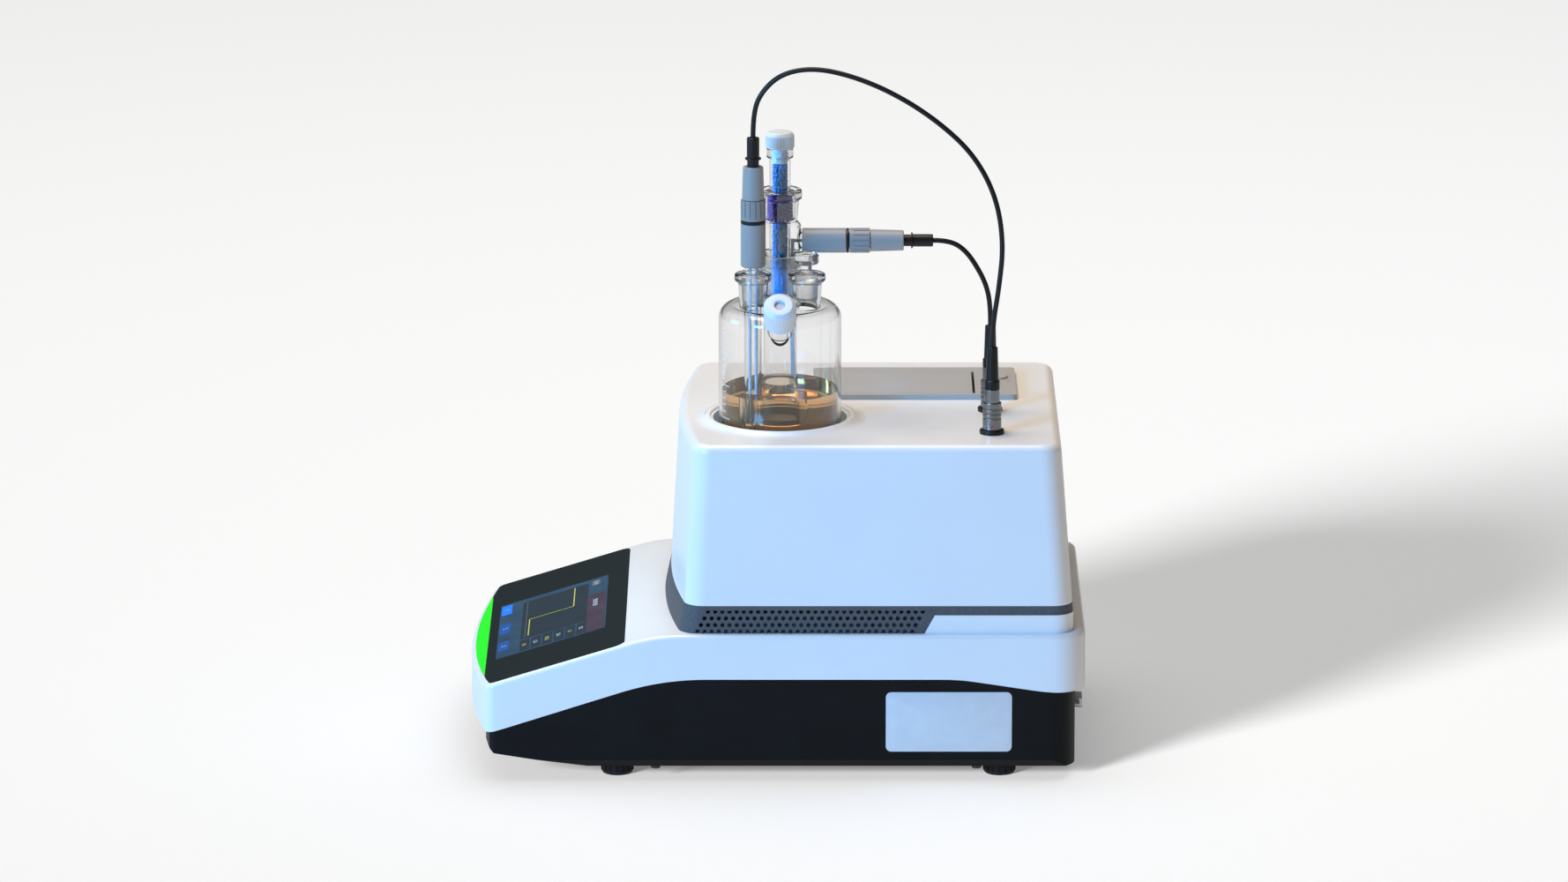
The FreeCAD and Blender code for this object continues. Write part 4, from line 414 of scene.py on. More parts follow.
def clean_mesh(name: str, verts: Sequence, faces: Sequence) -> bpy.types.Mesh:
    """Makes a mesh from points in millimetres, with doubled points joined and its faces turned outward.

    Args:
        name: Name of the mesh.
        verts: Points in millimetres, in the row frame.
        faces: Corner lists.

    Returns:
        The mesh, in metres.
    """
    mesh = bpy.data.meshes.new(name)
    mesh.from_pydata([tuple(c * MM for c in p) for p in verts], [], [tuple(f) for f in faces])
    work = bmesh.new()
    work.from_mesh(mesh)
    bmesh.ops.remove_doubles(work, verts=work.verts, dist=0.002 * MM)
    bmesh.ops.dissolve_degenerate(work, edges=work.edges, dist=0.001 * MM)
    bmesh.ops.recalc_face_normals(work, faces=work.faces)
    work.to_mesh(mesh)
    work.free()
    return mesh


def hoop(low: int, high: int, count: int) -> list[tuple[int, ...]]:
    """Gives the faces between two rings of points.

    Args:
        low: Number of the first ring's first point.
        high: Number of the second ring's first point.
        count: Points in each ring.

    Returns:
        Four corners a face.
    """
    return [(low + i, low + (i + 1) % count, high + (i + 1) % count, high + i) for i in range(count)]


def shade(piece: bpy.types.Object, crease: float) -> None:
    """Shades a piece smooth except where it turns by more than crease degrees."""
    piece.data.polygons.foreach_set("use_smooth", [True] * len(piece.data.polygons))
    piece.data.set_sharp_from_angle(angle=math.radians(crease))


def rounded(corners: Sequence[Sequence[float]], steps: int = 6, closed: bool = False) -> list[tuple[float, float]]:
    """Rounds the corners of a flat line.

    Args:
        corners: Points (a, b) or (a, b, radius).
        steps: Chords in each rounding.
        closed: Whether the line comes back to its start.

    Returns:
        The points of the rounded line.
    """
    out: list[tuple[float, float]] = []
    count = len(corners)
    for i, corner in enumerate(corners):
        here = Vector(corner[:2])
        radius = corner[2] if len(corner) > 2 else 0.0
        if not radius or (not closed and i in (0, count - 1)):
            out.append(tuple(here))
            continue
        back = (Vector(corners[i - 1][:2]) - here)
        ahead = (Vector(corners[(i + 1) % count][:2]) - here)
        angle = back.angle(ahead)
        reach = min(radius / math.tan(angle / 2), back.length * 0.98, ahead.length * 0.98)
        bend = reach * math.tan(angle / 2)
        centre = here + (back.normalized() + ahead.normalized()).normalized() * (bend / math.sin(angle / 2))
        first, last = here + back.normalized() * reach - centre, here + ahead.normalized() * reach - centre
        sweep = first.angle_signed(last)
        for k in range(steps + 1):
            a = -sweep * k / steps
            out.append((centre.x + first.x * math.cos(a) - first.y * math.sin(a),
                        centre.y + first.x * math.sin(a) + first.y * math.cos(a)))
    return out


@dataclass(frozen=True)
class Ribs:
    """Grooves cut along a turned piece's side."""

    count: int
    depth: float
    low: float
    high: float
    share: float = 0.45
    outer: float = 0.0


@dataclass(frozen=True)
class Axis:
    """Where a turned piece's own zero lies, and which way its axis points."""

    at: Point
    facing: Facing = Facing.UP
    tilt: float = 0.0

    def matrix(self) -> Matrix:
        """Gives the turn from the piece's own frame to the row frame."""
        turn = Matrix.Identity(4)
        if self.facing is Facing.ALONG_Y:
            turn = Matrix.Rotation(-math.pi / 2, 4, "X")
        if self.tilt:
            turn = Matrix.Rotation(math.radians(self.tilt), 4, "X")
        return Matrix.Translation(self.at) @ turn


def turned_points(corners: Sequence[Sequence[float]], axis: Axis, segments: int = 96,
                  ribs: Optional[Ribs] = None) -> tuple[list, list]:
    """Turns a closed profile about an axis.

    Args:
        corners: Profile points (radius, height) or (radius, height, rounding).
        axis: Where it stands.
        segments: Chords round it.
        ribs: Grooves along its side.

    Returns:
        Points in millimetres and faces.
    """
    line = rounded(corners, 6, closed=True)
    if ribs is not None:
        line = _with_levels(line, [ribs.low, ribs.low + 0.35, ribs.high - 0.35, ribs.high])
    matrix = axis.matrix()
    verts: list = []
    for radius, height in line:
        for k in range(segments):
            angle = 2 * math.pi * k / segments
            r = radius
            if ribs is not None and ribs.low + 0.1 < height < ribs.high - 0.1 and radius > ribs.outer:
                phase = (ribs.count * k / segments) % 1
                if phase < ribs.share:
                    r -= ribs.depth * math.sin(math.pi * phase / ribs.share) ** 0.7
            verts.append(tuple(matrix @ Vector((r * math.cos(angle), r * math.sin(angle), height))))
    faces = []
    count = len(line)
    for i in range(count):
        j = (i + 1) % count
        if line[i][0] < 1e-6 and line[j][0] < 1e-6:
            continue
        faces += hoop(i * segments, j * segments, segments)
    return verts, faces


def _with_levels(line: list, levels: Iterable[float]) -> list:
    """Adds points to a profile where its outer side crosses given heights.

    Args:
        line: Closed profile of (radius, height).
        levels: Heights that need a point.

    Returns:
        The profile with those points.
    """
    out = []
    count = len(line)
    for i, (r0, h0) in enumerate(line):
        out.append((r0, h0))
        r1, h1 = line[(i + 1) % count]
        if abs(h1 - h0) < 1e-6:
            continue
        crossed = sorted((level - h0) / (h1 - h0) for level in levels
                         if min(h0, h1) + 1e-4 < level < max(h0, h1) - 1e-4)
        out += [(r0 + (r1 - r0) * t, h0 + (h1 - h0) * t) for t in crossed]
    return out


def turned(name: str, corners: Sequence[Sequence[float]], axis: Axis, finish: Finish, body: str,
           segments: int = 96, ribs: Optional[Ribs] = None) -> bpy.types.Object:
    """Makes a turned piece.

    Args:
        name: Name of the piece.
        corners: Profile points (radius, height) or (radius, height, rounding).
        axis: Where it stands.
        finish: Its finish.
        body: The body that it moves with.
        segments: Chords round it.
        ribs: Grooves along its side.

    Returns:
        The new piece.
    """
    verts, faces = turned_points(corners, axis, segments, ribs)
    return finish_mesh(name, verts, faces, finish, body)


def carve(piece: bpy.types.Object, tools: Sequence[tuple[Sequence, Sequence]], how: str = "DIFFERENCE",
          crease: float = 32.0) -> None:
    """Cuts, adds or crosses a piece with closed shapes, and keeps only the result.

    Args:
        piece: The piece to change.
        tools: Points and faces of each shape, in millimetres.
        how: Name of the boolean operation.
        crease: Edges that turn by more degrees than this stay crisp.
    """
    helpers = []
    for verts, faces in tools:
        helper = bpy.data.objects.new("tool", clean_mesh("tool", verts, faces))
        bpy.context.scene.collection.objects.link(helper)
        modifier = piece.modifiers.new("carve", "BOOLEAN")
        modifier.operation = how
        modifier.solver = "EXACT"
        modifier.object = helper
        helpers.append(helper)
    bpy.context.view_layer.update()
    graph = bpy.context.evaluated_depsgraph_get()
    result = bpy.data.meshes.new_from_object(piece.evaluated_get(graph))
    old = piece.data
    piece.modifiers.clear()
    piece.data = result
    bpy.data.meshes.remove(old)
    for helper in helpers:
        mesh = helper.data
        bpy.data.objects.remove(helper)
        bpy.data.meshes.remove(mesh)
    shade(piece, crease)


BOX_FACES = [(0, 1, 2, 3), (4, 5, 6, 7), (0, 1, 5, 4), (1, 2, 6, 5), (2, 3, 7, 6), (3, 0, 4, 7)]


def block(low: Point, high: Point) -> tuple[list, list]:
    """Gives the points and faces of a box between two corners."""
    (x0, y0, z0), (x1, y1, z1) = low, high
    verts = [(x, y, z) for z in (z0, z1) for x, y in ((x0, y0), (x1, y0), (x1, y1), (x0, y1))]
    return verts, BOX_FACES


# Body plans


@dataclass(frozen=True)
class Plan:
    """The instrument's outline seen from above, with its bowed front."""

    front: float
    back: float
    half: float
    bow: float
    front_corner: float
    back_corner: float

    def inset(self, by: float) -> "Plan":
        """Draws the outline in by an amount all round."""
        return Plan(self.front + by, self.back - by, self.half - by, self.bow - by,
                    max(self.front_corner - by, 0.3), max(self.back_corner - by, 0.3))

    def side(self) -> list[tuple[float, float]]:
        """Gives the points of one half, from the middle of the front to the back, with y from 0 up."""
        centre = self.front + self.bow
        run = self.bow - self.front_corner
        rise = self.half - self.front_corner
        corner_x = centre - math.sqrt(run * run - rise * rise)
        lean = math.asin(rise / run)
        out = [(centre - self.bow * math.cos(lean * k / 24), self.bow * math.sin(lean * k / 24)) for k in range(25)]
        for k in range(1, 9):
            a = math.pi - lean - (math.pi / 2 - lean) * k / 8
            out.append((corner_x + self.front_corner * math.cos(a), rise + self.front_corner * math.sin(a)))
        end = self.back - self.back_corner
        steps = 64
        out += [(corner_x + (end - corner_x) * k / steps, self.half) for k in range(1, steps)]
        for k in range(11):
            a = math.pi / 2 * (1 - k / 10)
            out.append((end + self.back_corner * math.cos(a),
                        self.half - self.back_corner + self.back_corner * math.sin(a)))
        return out

    def ring(self, height: Callable[[float], float]) -> list[Point]:
        """Gives the points of the whole outline, at a height that changes along x."""
        near = self.side()
        return [(x, y, height(x)) for x, y in near + [(x, -y) for x, y in reversed(near[1:])]]


Level = tuple[Plan, Callable[[float], float]]


def stacked(levels: Sequence[Level]) -> tuple[list, list]:
    """Gives the points of a series of outlines, and the numbers of each outline's points.

    Args:
        levels: Outlines with their height as a function of x.

    Returns:
        Points in millimetres and rings of point numbers.
    """
    verts: list = []
    rings = []
    for plan, height in levels:
        ring = plan.ring(height)
        rings.append(list(range(len(verts), len(verts) + len(ring))))
        verts += ring
    return verts, rings


def shell(levels: Sequence[Level]) -> tuple[list, list]:
    """Builds a closed body through a series of outlines, capped at its first and last.

    Args:
        levels: Outlines with their height as a function of x.

    Returns:
        Points in millimetres and faces.
    """
    verts, rings = stacked(levels)
    faces: list = []
    count = len(rings[0])
    half = (count + 1) // 2
    for low, high in zip(rings, rings[1:]):
        faces += hoop(low[0], high[0], count)
    for ring in (rings[0], rings[-1]):
        for i in range(half - 1):
            a, b = ring[i], ring[i + 1]
            c, d = ring[(count - i - 1) % count], ring[(count - i) % count]
            faces.append((a, b, c) if i == 0 else (a, b, c, d))
    return verts, faces


def edge_levels(plan: Plan, top: Callable[[float], float], radius: float, steps: int = 5) -> list[Level]:
    """Gives the levels that round a top edge.

    Args:
        plan: Outline below the rounding.
        top: Height of the top.
        radius: Size of the rounding.
        steps: Chords in it.

    Returns:
        Levels from the start of the rounding to the top.
    """
    out = []
    for k in range(steps + 1):
        a = math.pi / 2 * k / steps
        drop = radius * (1 - math.sin(a))
        out.append((plan.inset(radius * (1 - math.cos(a))), lambda x, d=drop: top(x) - d))
    return out


# Studio


@dataclass
class Studio:
    """Floor, world, lamps and camera of the photograph."""

    camera_at: Point = (0.006, -6.780, 1.968)
    camera_pitch: float = 75.6
    lens: float = 212.6

    def build(self) -> None:
        """Builds the whole studio."""
        self._camera()
        floor = self._floor()
        self._world()
        self._lamp("key_lamp", "AREA", (-2.2, -2.5, 1.15), 1.0, 122.0, (0.12, 0.47, 1.0), floor, False)
        self._lamp("top_lamp", "AREA", (-0.45, 0.3, 2.5), 1.4, 56.0, (1.0, 0.83, 0.66), floor, False)
        self._lamp("left_lamp", "AREA", (-3.0, 0.3, 1.0), 1.2, 14.0, (0.1, 0.85, 0.9), floor, False)
        self._lamp("shadow_lamp", "SUN", (-2.2, -2.5, 1.15), 14.0, 5.4, (1.0, 1.0, 1.0), floor, True)
        self._lamp("overhead_lamp", "AREA", (0.3, 0.6, 3.2), 4.0, 46.0, (1.0, 1.0, 1.0), floor, True)

    def _camera(self) -> None:
        """Sets the photograph's camera."""
        data = bpy.data.cameras.new("camera")
        data.lens = self.lens
        data.sensor_width = 36
        data.clip_end = 100
        camera = bpy.data.objects.new("camera", data)
        camera.location = self.camera_at
        camera.rotation_euler = (math.radians(self.camera_pitch), 0, 0)
        bpy.context.scene.collection.objects.link(camera)
        bpy.context.scene.camera = camera

    def _floor(self) -> bpy.types.Object:
        """Lays the pale floor and gives it back."""
        mesh = bpy.data.meshes.new("floor")
        size = 30.0
        mesh.from_pydata([(-size, -size, 0), (size, -size, 0), (size, size, 0), (-size, size, 0)], [], [(0, 1, 2, 3)])
        floor = bpy.data.objects.new("floor", mesh)
        bpy.context.scene.collection.objects.link(floor)
        material = bpy.data.materials.new("floor_white")
        material.use_nodes = True
        wiring = Wiring(material.node_tree.nodes, material.node_tree.links)
        shader = wiring.nodes["Principled BSDF"]
        shader.inputs["Base Color"].default_value = (0.86, 0.86, 0.86, 1)
        shader.inputs["Roughness"].default_value = 0.9
        shader.inputs["Emission Color"].default_value = WHITE
        wiring.fill(shader.inputs["Emission Strength"], wiring.sum("MULTIPLY", self._seen_white(wiring), 0.2))
        floor.data.materials.append(material)
        return floor

    def _world(self) -> None:
        """Sets the soft surrounding light, white to the camera, glass and metal."""
        world = bpy.data.worlds.new("room")
        bpy.context.scene.world = world
        world.use_nodes = True
        wiring = Wiring(world.node_tree.nodes, world.node_tree.links)
        room = wiring.nodes["Background"]
        room.inputs["Color"].default_value = (1.0, 0.965, 0.92, 1)
        room.inputs["Strength"].default_value = 0.1
        white = wiring.add("ShaderNodeBackground", {"Color": WHITE, "Strength": 1.0})
        mix = wiring.add("ShaderNodeMixShader")
        for place, source in zip(mix.inputs, (self._seen_white(wiring), room.outputs[0], white.outputs[0])):
            wiring.fill(place, source)
        wiring.links.new(mix.outputs[0], wiring.nodes["World Output"].inputs["Surface"])

    def _seen_white(self, wiring: Wiring) -> Socket:
        """Tells camera, glass and mirror rays that have met no plain surface from the rest.

        Args:
            wiring: Nodes and links to add to.

        Returns:
            An output of 1 for those rays, MIRRORED once one has been mirrored, and 0 for others.
        """
        path = wiring.add("ShaderNodeLightPath").outputs
        total = path["Is Camera Ray"]
        for kind in ("Is Transmission Ray", "Is Glossy Ray"):
            total = wiring.sum("MAXIMUM", total, path[kind])
        direct = wiring.sum("LESS_THAN", path["Diffuse Depth"], 0.5)
        mirrored = wiring.sum("GREATER_THAN", path["Glossy Depth"], 0.5)
        kept = wiring.sum("SUBTRACT", 1.0, wiring.sum("MULTIPLY", mirrored, 1 - MIRRORED))
        return wiring.sum("MULTIPLY", wiring.sum("MULTIPLY", total, direct), kept)

    def _lamp(self, name: str, kind: str, at: Point, size: float, power: float, colour: Colour,
              floor: bpy.types.Object, on_floor: bool) -> None:
        """Hangs a soft lamp that faces the instrument.

        Args:
            name: Its name.
            kind: AREA for a square lamp or SUN for an even one.
            at: Its place, in metres.
            size: Width of its face in metres, or of the sun in degrees.
            power: Its power, in watts, or watts a square metre.
            colour: Its colour.
            floor: The floor.
            on_floor: Whether it lights the floor alone, or everything but the floor.
        """
        data = bpy.data.lights.new(name, kind)
        if kind == "SUN":
            data.angle = math.radians(size)
        else:
            data.size = size
        data.energy = power
        data.color = colour
        lamp = bpy.data.objects.new(name, data)
        lamp.location = at
        lamp.rotation_euler = (Vector((0, 0, 0.15)) - Vector(at)).to_track_quat("-Z", "Y").to_euler()
        bpy.context.scene.collection.objects.link(lamp)
        group = bpy.data.collections.new(name + "_reach")
        group.objects.link(floor)
        group.collection_objects[0].light_linking.link_state = "INCLUDE" if on_floor else "EXCLUDE"
        lamp.light_linking.receiver_collection = group


# Leads


@dataclass
class Lead:
    """A cable from an electrode to its plug."""

    name: str
    length: float
    route: tuple[Point, ...]
    bend: tuple[Point, Point]
    radius: float = 1.9
    sides: int = 20

    def _spline(self) -> list[Vector]:
        """Reads the points of the route's smooth line.

        Returns:
            Points in metres, from the electrode to the plug.
        """
        curve = bpy.data.curves.new(self.name + "_route", "CURVE")
        curve.dimensions = "3D"
        curve.resolution_u = 10
        spline = curve.splines.new("NURBS")
        spline.points.add(len(self.route) - 1)
        for point, at in zip(spline.points, self.route):
            point.co = (*[c * MM for c in at], 1)
        spline.order_u = 3
        spline.use_endpoint_u = True
        holder = bpy.data.objects.new(self.name + "_route", curve)
        bpy.context.scene.collection.objects.link(holder)
        bpy.context.view_layer.update()
        line = bpy.data.meshes.new_from_object(holder)
        points = [v.co.copy() for v in line.vertices]
        bpy.data.objects.remove(holder)
        bpy.data.meshes.remove(line)
        bpy.data.curves.remove(curve)
        return points

    def build(self) -> bpy.types.Object:
        """Builds the round lead along its line.

        Returns:
            The lead.
        """
        line = self._spline()
        radius = self.radius * MM
        tangent = (line[1] - line[0]).normalized()
        across = tangent.orthogonal().normalized()
        verts, faces = [], []
        for i, at in enumerate(line):
            ahead = (line[min(i + 1, len(line) - 1)] - line[max(i - 1, 0)]).normalized()
            across = (across - ahead * across.dot(ahead)).normalized()
            other = ahead.cross(across)
            for k in range(self.sides):
                a = 2 * math.pi * k / self.sides
                verts.append(at + across * math.cos(a) * radius + other * math.sin(a) * radius)
            if i:
                faces += hoop((i - 1) * self.sides, i * self.sides, self.sides)
        faces.append(tuple(reversed(range(self.sides))))
        last = (len(line) - 1) * self.sides
        faces.append(tuple(range(last, last + self.sides)))
        mesh = bpy.data.meshes.new(self.name)
        mesh.from_pydata([tuple(v) for v in verts], [], faces)
        mesh.update()
        piece = bpy.data.objects.new(self.name, mesh)
        bpy.context.scene.collection.objects.link(piece)
        shade(piece, 50)
        CABLE_BLACK.dress(piece)
        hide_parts(self.name.replace("_lead", "_cable"))
        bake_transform(piece)
        LOG.info("%s bends between cell and root", self.name)
        return piece


def leads() -> list[Lead]:
    """Gives the two leads with their routes, as the source has them."""
    measuring = Lead("measuring_lead", 367.0, (
        (-17, -61, 475.65), (-17, -61, 491.15), (-12.5, -61.5, 508), (3, -62.5, 524), (27, -65.5, 529.5),
        (56, -70, 524.5), (88, -75.5, 512), (119, -81, 493), (146, -86, 469), (163, -89.5, 438),
        (169, -91.5, 402), (165.5, -92, 367), (161, -92, 339.15), (161, -92, 323.15)),
        bend=((-17, -61, 491), (161, -92, 339)))
    generator = Lead("generator_lead", 88.8, (
        (GENERATOR_TIP, -26, 389), (GENERATOR_TIP + 12, -26, 389), (142, -25.7, 381.5), (152.5, -25.1, 365.5),
        (158.8, -24.4, 351), (161, -24, 335.15), (161, -24, 323.15)),
        bend=((126, -26, 389), (161, -24, 335)))
    return [measuring, generator]


# Base and display


NOSE, TAIL, HALF = -231.0, 231.0, 142.0
BOW = 687.0
LEAN = math.radians(17.1)
SLOPE = math.tan(LEAN)
SEAT_BACK = 120.4
SEAT_SLANT = 7.8 / 14
BAND_FOOT = Plan(NOSE + 147, TAIL - 9, HALF - 6, BOW, 15.0, 15.0)


def seat_block(back: float, top: float) -> tuple[list, list]:
    """Gives the side view of the raised rear seat as a block across the body.

    Args:
        back: Its end along x.
        top: Its height.

    Returns:
        Points in millimetres and faces.
    """
    start = TAIL - SEAT_BACK
    line = [(start - 2 * SEAT_SLANT, 112), (start + 7.8, top), (back, top), (back, 112)]
    return [(x, side, z) for side in (-HALF, HALF) for x, z in line], BOX_FACES


def slope_z(x: float, drop: float = 0.0) -> float:
    """Gives the height of the sloping top at x, dropped square to it."""
    return 75.0 + (x - (NOSE + 14)) * SLOPE - drop / math.cos(LEAN)


def height_line(corners: Sequence[Sequence[float]], steps: int = 14) -> Callable[[float], float]:
    """Makes a height along x from a side view's corners.

    Args:
        corners: Points (x, z) or (x, z, rounding), with x growing.
        steps: Chords in each rounding.

    Returns:
        A function from x to z.
    """
    points = rounded(corners, steps)

    def at(x: float) -> float:
        """Gives the height at x."""
        if x <= points[0][0]:
            return points[0][1]
        for (x0, z0), (x1, z1) in zip(points, points[1:]):
            if x <= x1:
                return z0 + (z1 - z0) * (x - x0) / max(x1 - x0, 1e-9)
        return points[-1][1]
    return at


@dataclass
class Base:
    """Lower cover with its display and light."""

    plan: Plan = Plan(NOSE, TAIL, HALF, BOW, 8.0, 24.0)
    band: Plan = BAND_FOOT
    flange: float = 114.0
    edge: float = 3.6
    wall: float = 2.8

    def _split(self) -> Callable[[float], float]:
        """Gives the cover's lower edge."""
        start = NOSE + 18
        rise = start + (80 - 38.9) / math.tan(math.radians(17.8))
        return height_line([(NOSE - 1, 37.9), (start, 38.9, 51), (rise, 80, 205), (TAIL - 94, 80, 150),
                            (TAIL - 27, 69.8, 150), (TAIL + 1, 69.8)])

    def _top(self, drop: float = 0.0) -> Callable[[float], float]:
        """Gives the cover's top, lowered square to itself by an amount."""
        height = self.flange - drop
        meet = NOSE + 14 + (height - 75 + drop / math.cos(LEAN)) / SLOPE
        return height_line([(NOSE - 1, slope_z(NOSE - 1, drop)), (meet, height, 130), (TAIL + 1, height)])

    def build(self) -> None:
        """Builds the cover with its rounded edges."""
        split, top = self._split(), self._top()
        under = self._top(self.wall)
        inside = self.plan.inset(self.wall)
        levels: list[Level] = [(inside, under), (inside, split), (self.plan, split)]
        levels += edge_levels(self.plan, top, self.edge)
        verts, faces = shell(levels)
        cover = finish_mesh("cover_moulding", verts, faces, COVER_WHITE, "root")
        seat, seat_faces = shell([(self.band, lambda x: 112.0), (self.band, lambda x: 128.0)])
        raised = finish_mesh("rear_seat", seat, seat_faces, COVER_WHITE, "root")
        carve(raised, [seat_block(TAIL, 128.01)], "INTERSECT")
        carve(cover, [self._slab(0.3), self._light(0.3)])
        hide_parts("lower_cover")

    def _slab(self, grow: float) -> tuple[list, list]:
        """Gives the display glass's form, grown all round."""
        plan = Plan(NOSE + 3.5 - grow, -113 + grow, HALF - 3.5 + grow, BOW - 3.5 + grow, 4.5, 7 + grow)
        side = [(max(x, -218 - grow), y) for x, y in plan.side()]
        return self._prism(side, grow)

    def _light(self, grow: float) -> tuple[list, list]:
        """Gives the status light's form, grown all round, with its outline stopped at the tips."""
        plan = Plan(NOSE + 3.5 - grow, -113 + grow, HALF - 3.5 + grow, BOW - 3.5 + grow, 4.5, 7)
        chord = -218.3
        centre = plan.front + plan.bow
        tip = (chord, math.sqrt(plan.bow ** 2 - (centre - chord) ** 2))
        side = [point for point in plan.side() if point[0] < chord - 0.2] + [tip]
        return self._prism(side, grow)

    def _prism(self, side: list, grow: float) -> tuple[list, list]:
        """Raises half an outline square to the bench between the slope and the recess floor.

        Args:
            side: Points of one half of the outline.
            grow: How far the top stands clear.

        Returns:
            Points in millimetres and faces.
        """
        ring = side + [(x, -y) for x, y in reversed(side[1:])]
        count = len(ring)
        verts = [(x, y, slope_z(x, drop)) for drop in (1.6, -2 * grow) for x, y in ring]
        faces = hoop(0, count, count) + [tuple(range(count)), tuple(range(count, 2 * count))]
        return verts, faces


@dataclass
class Screen:
    """The lit picture on the display: buttons, curve and figures."""

    lift: float = 0.06

    def _panel(self, name: str, x: tuple[float, float], y: tuple[float, float], finish: Finish, level: int = 1,
               corner: float = 0.0) -> None:
        """Lays a flat lit area on the glass.

        Args:
            name: Name of the piece.
            x: Ends along the slope, as x.
            y: Ends across.
            finish: Its finish.
            level: How many lifts it stands above the glass.
            corner: Rounding of its corners.
        """
        ring = rounded([(x[0], y[0], corner), (x[1], y[0], corner), (x[1], y[1], corner), (x[0], y[1], corner)],
                       4, closed=True)
        rise = self.lift * level
        top = [(a, b, slope_z(a, -rise)) for a, b in ring]
        low = [(a, b, slope_z(a, -rise + self.lift * 0.9)) for a, b in ring]
        count = len(ring)
        faces = [tuple(range(count)), tuple(range(count, 2 * count)), *hoop(0, count, count)]
        finish_mesh(name, top + low, faces, finish, "root")

    def _figures(self, name: str, text: str, at: tuple[float, float], size: float, finish: Finish) -> None:
        """Writes a short number on the screen.

        Args:
            name: Name of the piece.
            text: The digits.
            at: Middle of the number, as x and y.
            size: Height of the digits.
            finish: Its finish.
        """
        curve = bpy.data.curves.new(name, "FONT")
        curve.body = text
        curve.size = size * MM
        curve.align_x = "CENTER"
        curve.align_y = "CENTER"
        curve.extrude = 0.02 * MM
        holder = bpy.data.objects.new(name + "_text", curve)
        bpy.context.scene.collection.objects.link(holder)
        bpy.context.view_layer.update()
        mesh = bpy.data.meshes.new_from_object(holder)
        bpy.data.objects.remove(holder)
        tilt = Matrix.Rotation(-LEAN, 4, "Y") @ Matrix.Rotation(-math.pi / 2, 4, "Z")
        mesh.transform(Matrix.Translation([c * MM for c in (at[0], at[1], slope_z(at[0], -self.lift * 5.2))]) @ tilt)
        piece = bpy.data.objects.new(name, mesh)
        bpy.context.scene.collection.objects.link(piece)
        finish.dress(piece)
        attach(piece, "root")

    def build(self) -> None:
        """Builds the whole picture."""
        self._panel("screen_field", (-211, -128.5), (-76, 74.5), SCREEN_DARK, 1, 1.5)
        self._panel("screen_glow", (-146, -129.5), (-75, 30), SCREEN_PLUM, 2, 1.0)
        keys = ((44, 70, SCREEN_BLUE), (-10, 18, SCREEN_NAVY), (-58, -32, SCREEN_NAVY))
        for i, (low, high, finish) in enumerate(keys):
            self._panel(f"screen_key_{i}", (-210, -202), (low, high), finish, 3, 1.2)
            self._figures(f"screen_key_figure_{i}", str(i + 1), (-206, (low + high) / 2), 5.5, SCREEN_TEXT)
        self._panel("screen_tab", (-141, -134.5), (54, 68), SCREEN_LINE, 3, 0.8)
        self._figures("screen_clock", "12:30", (-137.7, 61), 4.5, SCREEN_TEXT)
        self._figures("screen_count", "00:00:00", (-137.5, 4), 5.5, SCREEN_TEXT)
        self._panel("plot_field", (-193.5, -143.5), (-40, 65), SCREEN_PLOT, 3)
        self._panel("plot_axis", (-190.4, -189.9), (-36, 63), SCREEN_LINE, 4)
        self._panel("plot_rise", (-154.4, -153.6), (11, 63), SCREEN_YELLOW, 5)
        self._panel("plot_step", (-187.9, -153.6), (10.6, 11.4), SCREEN_YELLOW, 5)
        self._panel("plot_flat", (-187.9, -187.1), (-35, 11.4), SCREEN_YELLOW, 5)
        for i, text in enumerate(("0.0", "12.5", "100.0", "25.4", "0.1", "8.2")):
            x = -189.7 + i * 8.6
            self._panel(f"value_field_{i}", (x - 3.6, x + 3.6), (-73, -43), SCREEN_PLOT, 3, 0.6)
            colour = SCREEN_YELLOW if i % 2 == 0 else SCREEN_TEXT
            self._figures(f"value_figure_{i}", text, (x - 0.4, -58), 4.6, colour)


@dataclass
class BaseTrims:
    """Small things on the base: the bare plate on the near side."""

    def build(self) -> None:
        """Builds the plate."""
        ring = rounded([(82, 23.5, 4), (176, 23.5, 4), (176, 69.5, 4), (82, 69.5, 4)], 6, closed=True)
        inner = rounded([(82.4, 23.9, 3.7), (175.6, 23.9, 3.7), (175.6, 69.1, 3.7), (82.4, 69.1, 3.7)], 6,
                        closed=True)
        y = -HALF + 3.1
        count = len(ring)
        verts = [(a, y + 0.05, b) for a, b in ring] + [(a, y - 0.3, b) for a, b in ring]
        verts += [(a, y - 0.45, b) for a, b in inner]
        faces = [tuple(range(count)), tuple(range(2 * count, 3 * count))]
        for base in (0, count):
            faces += hoop(base, base + count, count)
        finish_mesh("side_plate", verts, faces, PLATE_SILVER, "root")


# Band and vents


